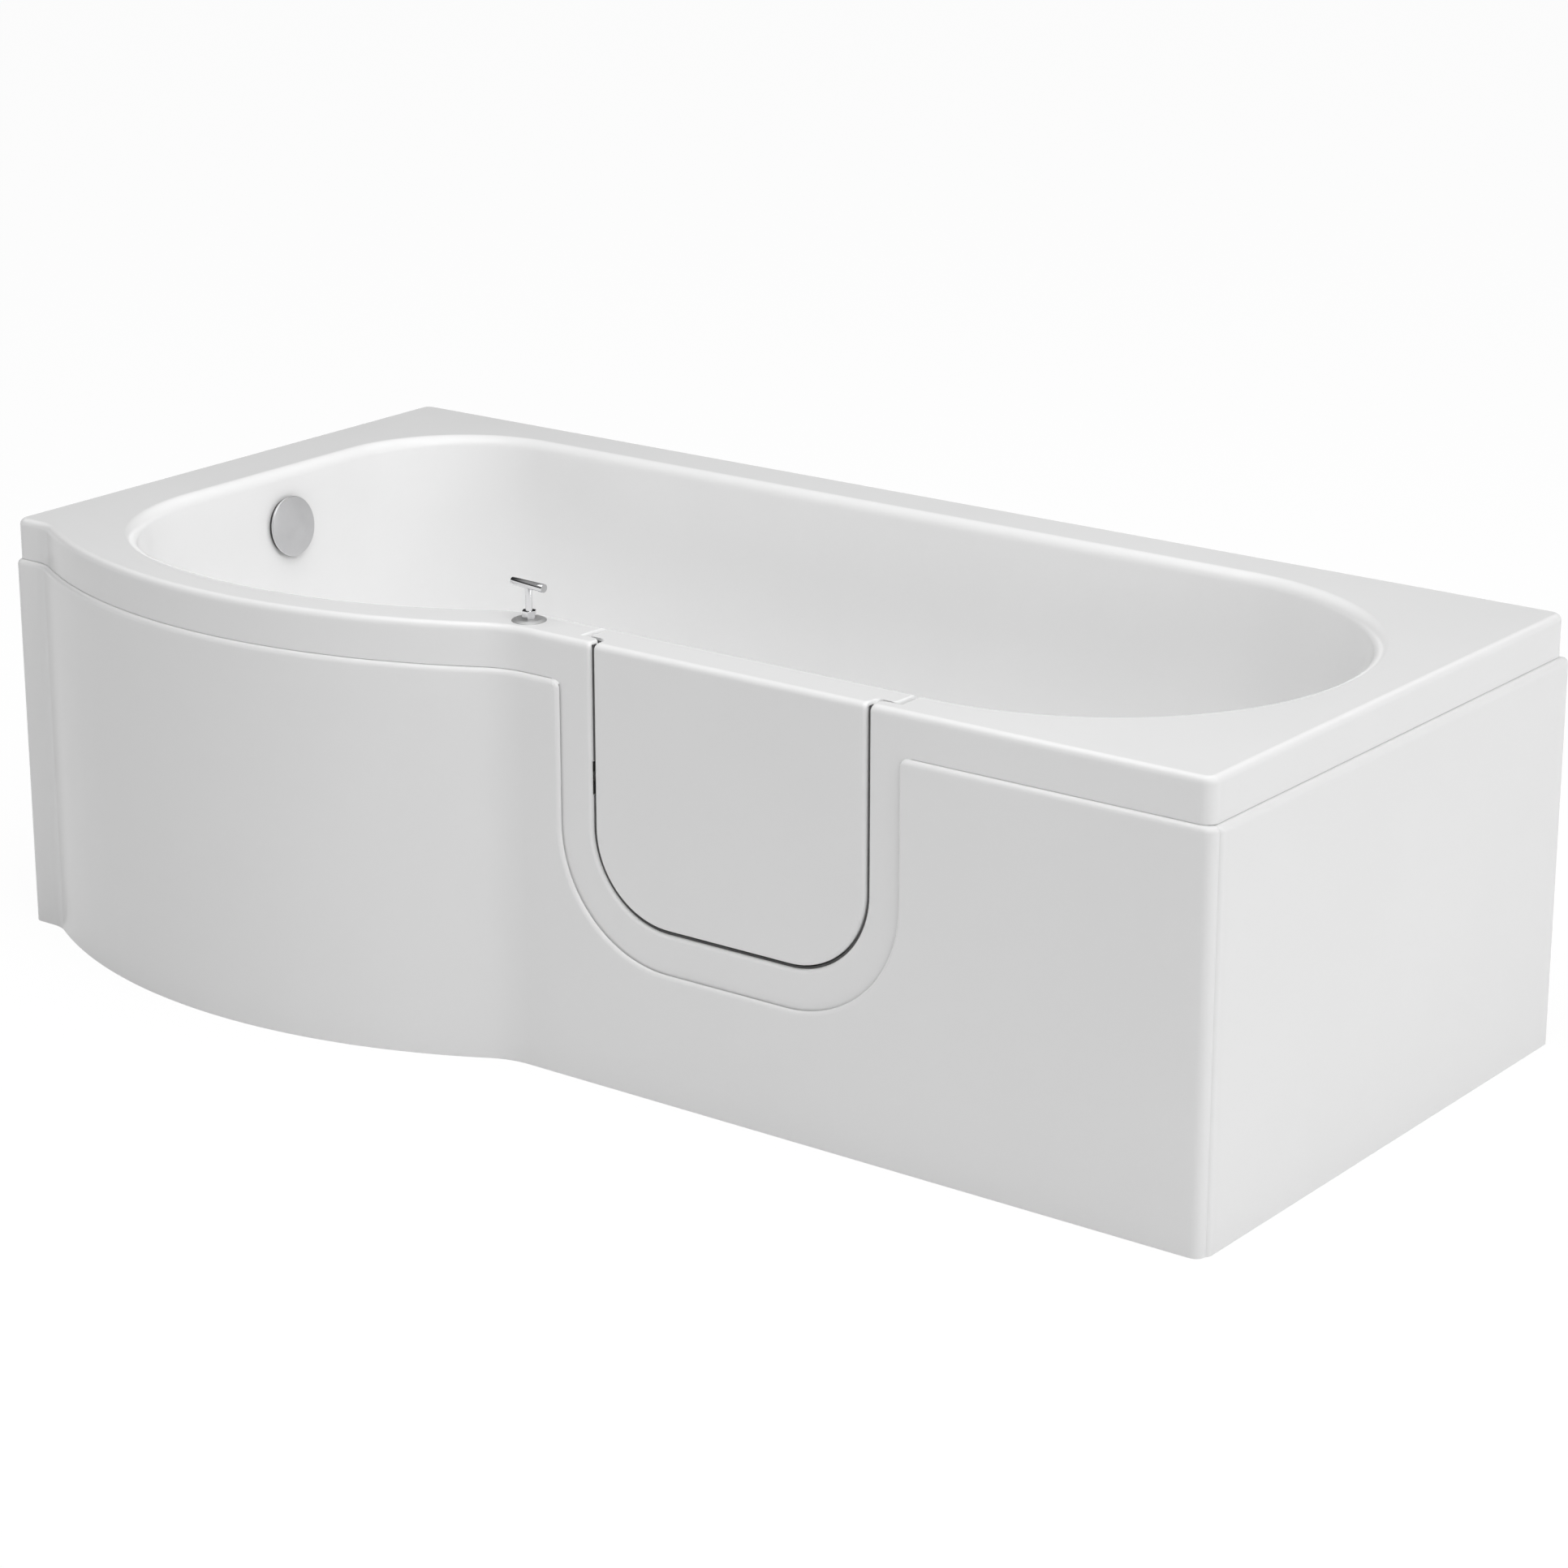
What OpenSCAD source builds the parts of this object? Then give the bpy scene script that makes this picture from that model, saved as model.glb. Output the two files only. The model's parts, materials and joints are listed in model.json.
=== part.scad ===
// P-shaped walk-in shower bath with an inward-opening door, bath panels,
// steel cradle and pop-up waste.
// Millimetres. +X runs to the bathing end, -Y to the door side, +Z up; the floor is z = 0.
// Inside the modules x counts from the shower end and y from the wall; place() moves all to the shared origin.

/* [Bath] */
// Length of the rim
bath_l = 1675; // [1640:5:1710]
// Width of the rim along the straight part
narrow_w = 744; // [738:1:746]
// Width of the rim at the fullest point of the bow
wide_w = 846; // [844:1:852]
// Height of the rim's top above the floor
rim_h = 509; // [500:1:520]
// Height of the turned-down edge of the rim
skirt_h = 49; // [44:1:54]
// Thickness of the reinforced acrylic shell
shell_t = 5; // [4:0.5:6]
// Radius of the rim's outer edge
rim_edge_r = 8; // [6:0.5:9]
// Radius of the rim's corners in plan
rim_corner_r = 14; // [12:1:20]

/* [Bow] */
// Distance of the bow's centre from the shower end
bow_x = 409; // [400:1:418]
// Distance from the bow's centre to the start of the straight front
bow_reach_right = 387.4; // [384:0.2:390]
// Distance from the bow's centre to its start at the shower end
bow_reach_left = 374.2; // [371:0.2:378]
// Share of the hollow between bow and straight front in both radii together
bow_hollow_share = 0.1325; // [0.125:0.0025:0.14]

/* [Basin] */
// Height of the basin's floor above the room's floor
basin_floor_z = 125; // [120:1:130]
// Distance from the shower end to the basin's end wall at the rim
basin_left = 93; // [88:1:98]
// Distance from the wall side to the basin's back wall at the rim
basin_back = 75; // [70:1:80]
// Distance from the wall side to the basin's front wall
basin_front = 680; // [676:1:682]
// Rim left beyond the basin at the bathing end
basin_end_rim = 70; // [65:1:75]
// Inward slope of the shower end wall over its height
left_draft = 45; // [35:1:55]
// Inward slope of the back wall over its height
back_draft = 45; // [35:1:50]
// Inward slope of the backrest over its height
backrest_draft = 135; // [115:1:150]
// Radius of the back corner at the shower end
back_corner_r = 165; // [155:1:175]
// Radius of the front corner at the shower end
front_corner_r = 245; // [240:1:250]
// Radius of the backrest corners at the floor
rest_floor_r = 150; // [140:1:170]
// Distance of the basin's bow centre from the shower end
basin_bow_x = 414; // [410:1:418]
// Width of the rim at the fullest point of the bow
bow_rim_w = 57; // [54:1:60]
// Distance from the basin's bow centre to the start of the basin's straight front
basin_reach = 364; // [360:1:368]
// Share of the hollow between the basin's bow and straight front in both radii together
basin_hollow_share = 0.189; // [0.183:0.003:0.195]
// Radius between the basin's walls and floor
floor_fillet_r = 40; // [30:1:42]
// Radius of the rim's inner lip
lip_r = 8; // [6:0.5:9]

/* [Doorway] */
// Distance of the doorway's middle from the shower end
door_x = 1075; // [1070:1:1080]
// Clear width of the doorway
doorway_w = 372; // [362:1:380]
// Height of the doorway's sill
sill_z = 196; // [192:1:202]
// Radius of the doorway's lower corners
doorway_r = 104; // [96:1:110]
// Gap between the door and the doorway
door_gap = 3.8; // [3.5:0.1:4.2]
// How far the door's inner lip reaches past its plug
lip_w = 24; // [22:0.5:25]
// Thickness of the door's inner lip
lip_t = 38; // [37:0.5:39]
// Room left around the inner lip
lip_room = 4.5; // [4:0.1:5]
// Width of the moulded surround round the doorway that the panel leaves bare
surround_w = 41.5; // [38:0.5:44]
// How far the surround runs on behind the panel
surround_lap = 12; // [10:0.5:14]
// Thickness of the door seal
seal_t = 2.7; // [2.3:0.1:3]
// Width of the door seal
seal_w = 14; // [12:0.5:15]

/* [Panels] */
// How far the front panel stands proud of the rim
panel_proud = 6; // [5.5:0.5:7]
// How far the end panel stands proud of the rim
end_proud = 9; // [8:0.5:10]
// Thickness of the panels
panel_t = 4; // [3.5:0.5:4.5]
// Radius of the panels' top edges
panel_edge_r = 6; // [5:0.5:6.5]
// Depth of the returns on the end panel
return_w = 20; // [16:1:22]
// Height of the hook that holds each panel behind the rim
hook_h = 16; // [12:1:18]
// Gap between the two panels at the corner
corner_gap = 2; // [1.5:0.5:3]
// Gap between the panels and the rim above
panel_top_gap = 0.5; // [0.4:0.1:1]

/* [Hinge] */
// Diameter of the hinge knuckles
knuckle_d = 12; // [11:0.5:13]
// Diameter of the hinge pins
hinge_pin_d = 6; // [5:0.5:6.5]
// Length of each hinge
hinge_h = 60; // [54:1:66]
// Distance of the upper hinge's middle below the rim
hinge_drop = 57; // [54:1:60]
// Distance between the middles of the two hinges
hinge_pitch = 107; // [100:1:110]
// Thickness of the hinge leaves
leaf_t = 3; // [2.5:0.5:3.5]
// Width of the hinge leaves
leaf_w = 24; // [22:1:25]
// Distance of the hinge axis from the edge of the door's lip
hinge_out = 7; // [6.5:0.1:7.5]

/* [Lock] */
// Distance of the handle from the shower end
handle_x = 779; // [776:1:782]
// Distance of the handle from the wall side
handle_y = 714; // [712:1:716]
// Length of the handle's bar
bar_l = 48; // [40:1:60]
// Diameter of the handle's bar
bar_d = 9.5; // [8.5:0.5:11]
// Angle of the handle's bar to the rim
bar_turn = -5; // [-15:1:15]
// Height of the bar's middle above the rim
bar_h = 40.5; // [36:0.5:46]
// Diameter of the handle's spindle
spindle_d = 7.5; // [7:0.5:8]
// Diameter of the rosette
rosette_d = 39; // [34:1:42]
// Thickness of the rosette
rosette_t = 2.5; // [2:0.5:3]
// Width of the hexagonal collar across its flats
collar_w = 14.5; // [13:0.5:16]
// Height of the hexagonal collar
collar_h = 9; // [7:0.5:10]
// Distance of the lock bolt below the rim
bolt_drop = 154; // [149:1:159]
// Diameter of the lock bolt
bolt_d = 10; // [9:0.5:10.5]
// Distance of the bolt's middle behind the surround's face
bolt_in = 9.5; // [9:0.5:10]
// Travel of the bolt over a quarter turn of the handle
bolt_throw = 12; // [11:0.5:13]
// Teeth on a full turn of the lock's pinion
pinion_teeth = 15; // [13:1:17]
// Height of the faceplate and of the strike plate
plate_h = 38; // [34:1:42]
// Width of the faceplate and of the strike plate
plate_w = 14; // [13:0.5:15]
// Thickness of the faceplate and of the strike plate
plate_t = 1.2; // [1:0.1:1.5]

/* [Waste and overflow] */
// Distance of the waste from the shower end
waste_x = 250; // [245:1:260]
// Distance of the waste and the overflow from the wall side
waste_y = 378; // [370:1:385]
// Diameter of the waste's flange
flange_d = 70; // [66:1:74]
// Distance of the overflow's middle below the rim
overflow_drop = 71; // [68:1:76]
// Diameter of the overflow cap
cap_d = 75; // [70:1:78]
// Gap between the overflow cap and the basin's wall
cap_gap = 4.5; // [4:0.5:6]
// Thickness of the overflow cap in its middle
cap_t = 5.5; // [5:0.5:8]
// Thickness of the overflow cap at its edge
cap_edge_t = 3; // [2.5:0.25:4]
// Outer diameter of the overflow pipe
pipe_d = 28; // [26:1:30]
// Outer diameter of the waste's threaded tail
tail_d = 47.8; // [46:0.2:49]
// Height of the overflow pipe's level run
pipe_z = 85; // [82:1:86]
// Radius of the overflow pipe's bend
pipe_bend_r = 50; // [45:1:55]
// Outer diameter of the pop-up cable
cable_d = 5; // [4:0.5:6]

/* [Cradle] */
// Thickness of the baseboard
board_t = 18; // [15:1:20]
// Width of the steel cross rails
rail_w = 40; // [36:1:45]
// Height of the steel cross rails
rail_h = 30; // [26:1:34]
// Thickness of the rails' steel
rail_t = 2.5; // [2:0.5:3]
// Distance of the rail under the bow from the shower end
rail_x_left = 372; // [366:1:380]
// Distance of the middle rail from the shower end
rail_x_mid = 860; // [850:1:870]
// Distance of the bathing end's rail from the shower end
rail_x_right = 1330; // [1310:1:1350]
// Diameter of the foot rods
rod_d = 12; // [10:1:12]
// Diameter of the foot pads
pad_d = 44; // [40:1:50]
// Width and height of the timber battens
batten_w = 24; // [20:1:26]

/* [Hidden] */
$fn = 72;

fit = 0.05;
clear = 0.3;
past = 60;
overall_l = bath_l + end_proud;
overall_w = wide_w + panel_proud;

// Rim and basin
rim_under_z = rim_h - shell_t;
skirt_z = rim_h - skirt_h;
basin_right = bath_l - basin_end_rim;
basin_depth = rim_h - basin_floor_z;
rest_rim_r = (basin_front - basin_back) / 2 - 1;
n_corner = 10;
n_end = 14;
n_fillet = 6;
n_bow = 20;
n_front = 12;
n_panel = 24;
n_round = 4;

// Doorway and door
surround_y = narrow_w - 0.2;
door_half = doorway_w / 2;
plug_half = door_half - door_gap;
plug_z = sill_z + door_gap;
plug_r = doorway_r - door_gap;
door_in_y = basin_front + 4;
lip_y = door_in_y + lip_t;
shoulder_y = lip_y + seal_t + clear;
seal_out = 5;
cut_half = door_half + surround_w;
cut_z = sill_z - door_gap - surround_w;
cut_r = doorway_r + surround_w;
door_left = door_x - plug_half;
doorway_left = door_x - door_half;
surround_left = door_x - cut_half - surround_lap;
lip_right = door_x + plug_half + lip_w;

// Panels
panel_top = skirt_z - panel_top_gap;
panel_y = narrow_w + panel_proud;
panel_in_y = panel_y - panel_t;
hook_in = panel_proud + shell_t + clear;
panel_right = overall_l - 3;
end_in_x = overall_l - panel_t;
end_front_y = panel_y - 9 - corner_gap;
flange_w = 8.8;

// Hinge
hinge_x = lip_right + hinge_out;
leaf_edge = lip_right - 0.5;
hinge_y = basin_front - clear - knuckle_d / 2;
leaf_gap = 0.5;
leaf_y = basin_front - leaf_gap;
hinge_zs = [rim_h - hinge_drop - hinge_pitch, rim_h - hinge_drop];
knuckle_share = 0.3;
knuckle_h = hinge_h * knuckle_share;
web_half = hinge_h / 2 - knuckle_h - clear;
web_t = 5;
web_w = 6.5;
pin_head_d = hinge_pin_d + 3;
screw_d = 4;
screw_l = 15;

// Lock
bolt_z = rim_h - bolt_drop;
pitch_r = bolt_throw * 2 / PI;
tooth_pitch = 2 * PI * pitch_r / pinion_teeth;
tooth_out = 0.65;
tooth_in = 1.05;
rack_y = handle_y + pitch_r;
bolt_y = surround_y - bolt_in;
bar_half_z = 6;
neck_d = 10;
bolt_hole_d = bolt_d + 0.8;
tab_t = 3;
case_t = 2;
case_front_y = bolt_y + 8;
case_back_y = handle_y - 12;
case_left = handle_x - 29;
case_half_z = 14;
bolt_bar_left = handle_x - 17;
bolt_bar_right = handle_x + 36;
spindle_low = bolt_z - case_half_z;

// Waste and overflow
overflow_z = rim_h - overflow_drop;
wall_lean = atan(left_draft / basin_depth);
overflow_x = basin_left + left_draft * (rim_h - overflow_z) / basin_depth;
shell_under_z = basin_floor_z - shell_t;
waste_hole_d = 52;
waste_body_d = 56;
waste_body_low = 62;
tail_low = 34;
gasket_t = 3;
body_deep = 26;
cap_stem_d = 10;
cap_round = 0.8;
body_under = shell_t + gasket_t + body_deep;
body_mid = body_under - body_deep / 2;
pipe_x = overflow_x - body_mid * cos(wall_lean);
body_mid_z = overflow_z - body_mid * sin(wall_lean);
body_d = waste_hole_d + 14;
pipe_top = body_mid_z - body_d / 2 - 2;
cable_off = 25;
cable_z = pipe_z - 6;
cable_bend_r = 56;

// Cradle
board_z = shell_under_z - board_t;
rail_z = board_z - rail_h;
rail_back = 66;
rod_back = 84;
rod_front = basin_front + 18;
rod_bow = 776;
rod_end = 18;
nut_w = 18;
nut_h = 8;
feet = [
    [rail_x_left, rod_back], [rail_x_left, rod_bow],
    [rail_x_mid, rod_back], [rail_x_mid, rod_front],
    [rail_x_right, rod_back], [rail_x_right, rod_front]
];
bracket_xs = [420, 1260];
bracket_w = 40;
bracket_t = 3;
wall_hole_d = 7;
batten_end = 60;

function mix(a, b, t) = a + (b - a) * t;
function arc(x, y, r, from, to, n) =
    [for (i = [0 : n - 1]) let (a = mix(from, to, i / (n - 1))) [x + r * cos(a), y + r * sin(a)]];

// Side of a right triangle, for circles that touch each other
function leg(hyp, side) = sqrt(hyp * hyp - side * side);

// Radii together of a bow and a hollow that touch, from their reach along the front and their rise
function both_radii(reach, rise) = (reach * reach + rise * rise) / (2 * rise);

bow_rise = wide_w - narrow_w;
bow_fillet_r = bow_hollow_share * both_radii(bow_reach_right, bow_rise);
bow_r = both_radii(bow_reach_right, bow_rise) - bow_fillet_r;
bow_start_r = both_radii(bow_reach_left, bow_rise) - bow_r;
bow_y = wide_w - bow_r;
basin_rise = wide_w - bow_rim_w - basin_front;
basin_fillet_r = basin_hollow_share * both_radii(basin_reach, basin_rise);
basin_bow_r = both_radii(basin_reach, basin_rise) - basin_fillet_r;
basin_bow_y = wide_w - bow_rim_w - basin_bow_r;

// The basin's outline at a share t of its depth, drawn in by e
function basin_ring(t, e) =
    let (
        left = basin_left + left_draft * t + e,
        back = -basin_back - back_draft * t - e,
        front = -basin_front + e,
        right = basin_right - backrest_draft * t - e,
        r_back = mix(back_corner_r, back_corner_r - 15, t) - e,
        r_rest = mix(rest_rim_r, rest_floor_r, t) - e,
        r_bow = basin_bow_r - left_draft * t - e,
        r_hollow = basin_fillet_r + left_draft * t + e,
        r_front = mix(front_corner_r, front_corner_r - 25, t) - e,
        hollow_y = front - r_hollow,
        hollow_x = basin_bow_x + leg(r_bow + r_hollow, hollow_y + basin_bow_y),
        turn = atan2(hollow_y + basin_bow_y, hollow_x - basin_bow_x),
        corner_x = left + r_front,
        corner_y = -basin_bow_y - leg(r_bow - r_front, corner_x - basin_bow_x),
        start = atan2(corner_y + basin_bow_y, corner_x - basin_bow_x)
    )
    concat(
        arc(left + r_back, back - r_back, r_back, 180, 90, n_corner),
        arc(right - r_rest, back - r_rest, r_rest, 90, 0, n_end),
        arc(right - r_rest, front + r_rest, r_rest, 0, -90, n_end),
        arc(hollow_x, hollow_y, r_hollow, 90, turn + 180, n_fillet),
        arc(basin_bow_x, -basin_bow_y, r_bow, mix(turn, start, 0.02), mix(turn, start, 0.98), n_bow),
        arc(corner_x, corner_y, r_front, start, -180, n_front)
    );

// Centres of the hollows on both sides of the bow, and the bow's angle at each
hollow_right_x = bow_x + bow_reach_right;
hollow_right_y = narrow_w + bow_fillet_r;
hollow_left_x = bow_x - bow_reach_left;
hollow_left_y = narrow_w + bow_start_r;
bow_end = asin(bow_reach_right / (bow_r + bow_fillet_r)) - 90;
bow_start = -90 - asin(bow_reach_left / (bow_r + bow_start_r));

// The rim's outline drawn in by e, with as many points as the basin's
function rim_ring(e) =
    let (r = max(rim_corner_r - e, 1), right = bath_l - e, front = -narrow_w + e)
    concat(
        arc(e + r, -e - r, r, 180, 90, n_corner),
        arc(right - r, -e - r, r, 90, 0, n_end),
        arc(right - r, front + r, r, 0, -90, n_end),
        arc(hollow_right_x, -hollow_right_y, bow_fillet_r + e, 90, bow_end + 180, n_fillet),
        arc(bow_x, -bow_y, bow_r - e, mix(bow_end, bow_start, 0.02), mix(bow_end, bow_start, 0.98), n_bow),
        arc(hollow_left_x, -hollow_left_y, bow_start_r + e, bow_start + 180, 90, n_front / 2),
        arc(e + r, front + r, r, -90, -180, n_front / 2)
    );

function lift(ring, z) = [for (p = ring) [p[0], p[1], z]];
function wall_ring(z, e) = lift(basin_ring((rim_h - z) / basin_depth, e), z);
function round_step(i) = 90 * i / n_round;

// The shell's skin from the middle of the basin's floor, over the rim, down the skirt and back underneath
shell_rings = concat(
    [for (i = [0 : n_round]) let (a = round_step(i))
        wall_ring(basin_floor_z + floor_fillet_r * (1 - cos(a)), floor_fillet_r * (1 - sin(a)))],
    [wall_ring(mix(basin_floor_z + floor_fillet_r, rim_h - lip_r, 0.5), 0)],
    [for (i = [0 : n_round]) let (a = round_step(i))
        wall_ring(rim_h - lip_r * (1 - sin(a)), -lip_r * (1 - cos(a)))],
    [for (i = [0 : n_round]) let (a = round_step(i))
        lift(rim_ring(rim_edge_r * (1 - sin(a))), rim_h - rim_edge_r * (1 - cos(a)))],
    [lift(rim_ring(0), skirt_z), lift(rim_ring(shell_t), skirt_z), lift(rim_ring(shell_t), rim_under_z)],
    [wall_ring(rim_under_z, -shell_t - 2), wall_ring(rim_under_z - lip_r, -shell_t)],
    [for (i = [n_round : -1 : 0]) let (a = round_step(i))
        wall_ring(basin_floor_z + floor_fillet_r * (1 - cos(a)) - shell_t * cos(a),
            floor_fillet_r * (1 - sin(a)) - shell_t * sin(a))]
);

module place() translate([-overall_l / 2, overall_w / 2, 0]) children();

// A closed skin over rings of equal count
module loft(rings) {
    n = len(rings[0]);
    last = (len(rings) - 1) * n;
    polyhedron(
        points = [for (ring = rings) each ring],
        faces = concat(
            [[for (j = [0 : n - 1]) j]],
            [[for (j = [n - 1 : -1 : 0]) last + j]],
            [for (k = [0 : len(rings) - 2]) for (j = [0 : n - 1])
                [k * n + j, (k + 1) * n + j, (k + 1) * n + (j + 1) % n]],
            [for (k = [0 : len(rings) - 2]) for (j = [0 : n - 1])
                [k * n + j, (k + 1) * n + (j + 1) % n, k * n + (j + 1) % n]]
        )
    );
}

// A box between two corners, y counted from the wall side
module span(x, y, z) {
    translate([x[0], -y[1], z[0]]) cube([x[1] - x[0], y[1] - y[0], z[1] - z[0]]);
}

// A cylinder along x, from x[0] to x[1]
module rod_x(x, y, z, d) {
    translate([x[0], -y, z]) rotate([0, 90, 0]) cylinder(d = d, h = x[1] - x[0]);
}

// A cylinder along y, from y[0] back to y[1], y counted from the wall side
module rod_y(x, y, z, d) {
    translate([x, -y[0], z]) rotate([90, 0, 0]) cylinder(d = d, h = y[1] - y[0]);
}

// A cylinder along z
module rod_z(x, y, z, d) {
    translate([x, -y, z[0]]) cylinder(d = d, h = z[1] - z[0]);
}

module tube_z(x, y, z, d, bore) {
    difference() {
        rod_z(x, y, z, d);
        rod_z(x, y, [z[0] - 1, z[1] + 1], bore);
    }
}

// The doorway's U, drawn out by e, on the front plane
module u_shape(half, low, r, top) {
    translate([-half, low + r]) square([2 * half, top - low - r]);
    translate([r - half, low]) square([2 * (half - r), r + 1]);
    for (side = [-1, 1]) translate([side * (half - r), low + r]) circle(r);
}

// A U-shaped slab between two distances from the wall side
module u_slab(half, low, r, top, y) {
    translate([door_x, -y[0], 0]) rotate([90, 0, 0]) linear_extrude(y[1] - y[0]) u_shape(half, low, r, top);
}

// A countersunk screw along -z with its head's top at the origin
module screw(d, l) {
    translate([0, 0, -l]) cylinder(d = d, h = l - d / 4);
    translate([0, 0, -d / 2]) cylinder(d1 = d, d2 = 2 * d, h = d / 2);
}

module hinge_screw_places(x) {
    for (z = hinge_zs) for (step = [-1, 0, 1])
        translate([x, -leaf_y + leaf_t, z + step * hinge_h * 0.35]) children();
}

frame_screw_x = hinge_x + leaf_w - 10;
door_screw_x = lip_right - leaf_w + 6;

module frame_screw_holes() {
    hinge_screw_places(frame_screw_x) rotate([-90, 0, 0]) screw(screw_d + 2 * fit, 16);
}

module door_screw_holes() {
    translate([0, leaf_y - door_in_y, 0]) hinge_screw_places(door_screw_x)
        rotate([-90, 0, 0]) screw(screw_d + 2 * fit, 16);
}

module overflow_place() {
    translate([overflow_x, -waste_y, overflow_z]) rotate([0, 90 - wall_lean, 0]) children();
}

module bath_shell() color("white") place() difference() {
    union() {
        loft(shell_rings);
        u_slab(cut_half + surround_lap, cut_z - surround_lap, cut_r + surround_lap, rim_h - 2,
            [basin_front + shell_t - 1.5, surround_y]);
    }
    u_slab(door_half, sill_z, doorway_r, rim_h + past, [basin_front - past, narrow_w + past]);
    u_slab(plug_half + lip_w + lip_room, plug_z - lip_w - lip_room, plug_r + lip_w + lip_room, rim_h + past,
        [basin_front - past, shoulder_y]);
    rod_z(waste_x, waste_y, [shell_under_z - 5, basin_floor_z + 5], waste_hole_d);
    overflow_place() translate([0, 0, -shell_t - 5]) cylinder(d = waste_hole_d, h = shell_t + 10);
    rod_z(handle_x, handle_y, [rim_under_z - 5, rim_h + 5], neck_d + 0.2);
    rod_x([surround_left - 1, doorway_left + 1], bolt_y, bolt_z, bolt_hole_d);
    span([doorway_left - plate_t, doorway_left + 1], [bolt_y - plate_w / 2, bolt_y + plate_w / 2],
        [bolt_z - plate_h / 2, bolt_z + plate_h / 2]);
    frame_screw_holes();
    lock_screw_places() rotate([0, -90, 0]) screw(screw_d + 2 * fit, 18);
}

module lock_screw_places() {
    for (side = [-1, 1])
        translate([surround_left - tab_t, -handle_y - 4, bolt_z + side * (case_half_z + 9)]) children();
}

module door() color("white") place() difference() {
    union() {
        u_slab(plug_half, plug_z, plug_r, rim_h, [lip_y - 2, surround_y]);
        u_slab(plug_half + lip_w, plug_z - lip_w, plug_r + lip_w, rim_h, [door_in_y, lip_y]);
    }
    rod_x([door_left - 1, door_left + bolt_throw], bolt_y, bolt_z, bolt_hole_d);
    span([door_left - 1, door_left + plate_t], [bolt_y - plate_w / 2, bolt_y + plate_w / 2],
        [bolt_z - plate_h / 2, bolt_z + plate_h / 2]);
    door_screw_holes();
}

module door_seal() color("gainsboro") place() difference() {
    u_slab(plug_half + seal_out + seal_w, plug_z - seal_out - seal_w, plug_r + seal_out + seal_w, rim_h - 3,
        [lip_y, lip_y + seal_t]);
    u_slab(plug_half + seal_out, plug_z - seal_out, plug_r + seal_out, rim_h + 5,
        [lip_y - 1, lip_y + seal_t + 1]);
}

// Knuckles at both ends of a hinge
module frame_knuckles(z) {
    for (low = [z - hinge_h / 2, z + hinge_h / 2 - knuckle_h])
        rod_z(hinge_x, hinge_y, [low, low + knuckle_h], knuckle_d);
}

module pin_bores() {
    for (z = hinge_zs) rod_z(hinge_x, hinge_y, [z - hinge_h, z + hinge_h], hinge_pin_d + 2 * fit);
}

module hinge_frame_leaves() color("silver") place() difference() {
    for (z = hinge_zs) {
        frame_knuckles(z);
        difference() {
            span([hinge_x, hinge_x + leaf_w], [leaf_y - leaf_t, leaf_y], [z - hinge_h / 2, z + hinge_h / 2]);
            rod_z(hinge_x, hinge_y, [z - hinge_h * 0.2, z + hinge_h * 0.2], knuckle_d + 2 * clear);
        }
    }
    pin_bores();
    frame_screw_holes();
}

module hinge_door_leaves() color("silver") place() difference() {
    for (z = hinge_zs) {
        rod_z(hinge_x, hinge_y, [z - web_half, z + web_half], knuckle_d);
        span([lip_right - leaf_w, leaf_edge], [door_in_y - leaf_t, door_in_y],
            [z - hinge_h / 2, z + hinge_h / 2]);
        span([leaf_edge - web_w, leaf_edge], [hinge_y - 2, door_in_y - leaf_t + 1],
            [z - web_half, z + web_half]);
        span([leaf_edge - web_w, hinge_x], [hinge_y - 2, hinge_y - 2 + web_t], [z - web_half, z + web_half]);
    }
    pin_bores();
    door_screw_holes();
}

module hinge_pins() color("silver") place() for (z = hinge_zs) {
    rod_z(hinge_x, hinge_y, [z - hinge_h / 2 - 2, z + hinge_h / 2 + 0.2], hinge_pin_d);
    rod_z(hinge_x, hinge_y, [z + hinge_h / 2 + 0.1, z + hinge_h / 2 + 3], pin_head_d);
}

module hinge_frame_screws() color("silver") place() hinge_screw_places(frame_screw_x)
    rotate([-90, 0, 0]) screw(screw_d, screw_l);

module hinge_door_screws() color("silver") place() translate([0, leaf_y - door_in_y, 0])
    hinge_screw_places(door_screw_x) rotate([-90, 0, 0]) screw(screw_d, screw_l);

module baseboard() color("burlywood") place() difference() {
    translate([0, 0, board_z]) linear_extrude(board_t) polygon(basin_ring(1, floor_fillet_r + 6));
    rod_z(waste_x, waste_y, [board_z - 1, shell_under_z + 1], 110);
    for (foot = feet) for (side = [-1, 1])
        cradle_screw_place(foot[0], side) rotate([180, 0, 0]) screw(screw_d + 2 * fit, screw_l + 1);
}

// Screws up through a rail into the baseboard
module cradle_screw_place(x, side) {
    for (y = [basin_back + back_draft + 90, basin_front - 90])
        translate([x + side * rail_w / 4, -y, board_z - rail_t]) children();
}

module cradle_screws() color("silver") place()
    for (x = [rail_x_left, rail_x_mid, rail_x_right]) for (side = [-1, 1])
        cradle_screw_place(x, side) rotate([180, 0, 0]) screw(screw_d, screw_l);

module cradle(x, front) color("lightsteelblue") place() difference() {
    span([x - rail_w / 2, x + rail_w / 2], [rail_back, front], [rail_z, board_z]);
    span([x - rail_w / 2 + rail_t, x + rail_w / 2 - rail_t], [rail_back - 1, front + 1],
        [rail_z - 1, board_z - rail_t]);
    for (foot = feet) if (foot[0] == x) rod_z(x, foot[1], [rail_z, board_z + 1], rod_d + 1);
    for (side = [-1, 1]) cradle_screw_place(x, side) rotate([180, 0, 0]) screw(screw_d + 2 * fit, screw_l + 1);
}

module cradle_left() cradle(rail_x_left, rod_bow + rod_end);
module cradle_middle() cradle(rail_x_mid, rod_front + rod_end);
module cradle_right() cradle(rail_x_right, rod_front + rod_end);

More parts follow.
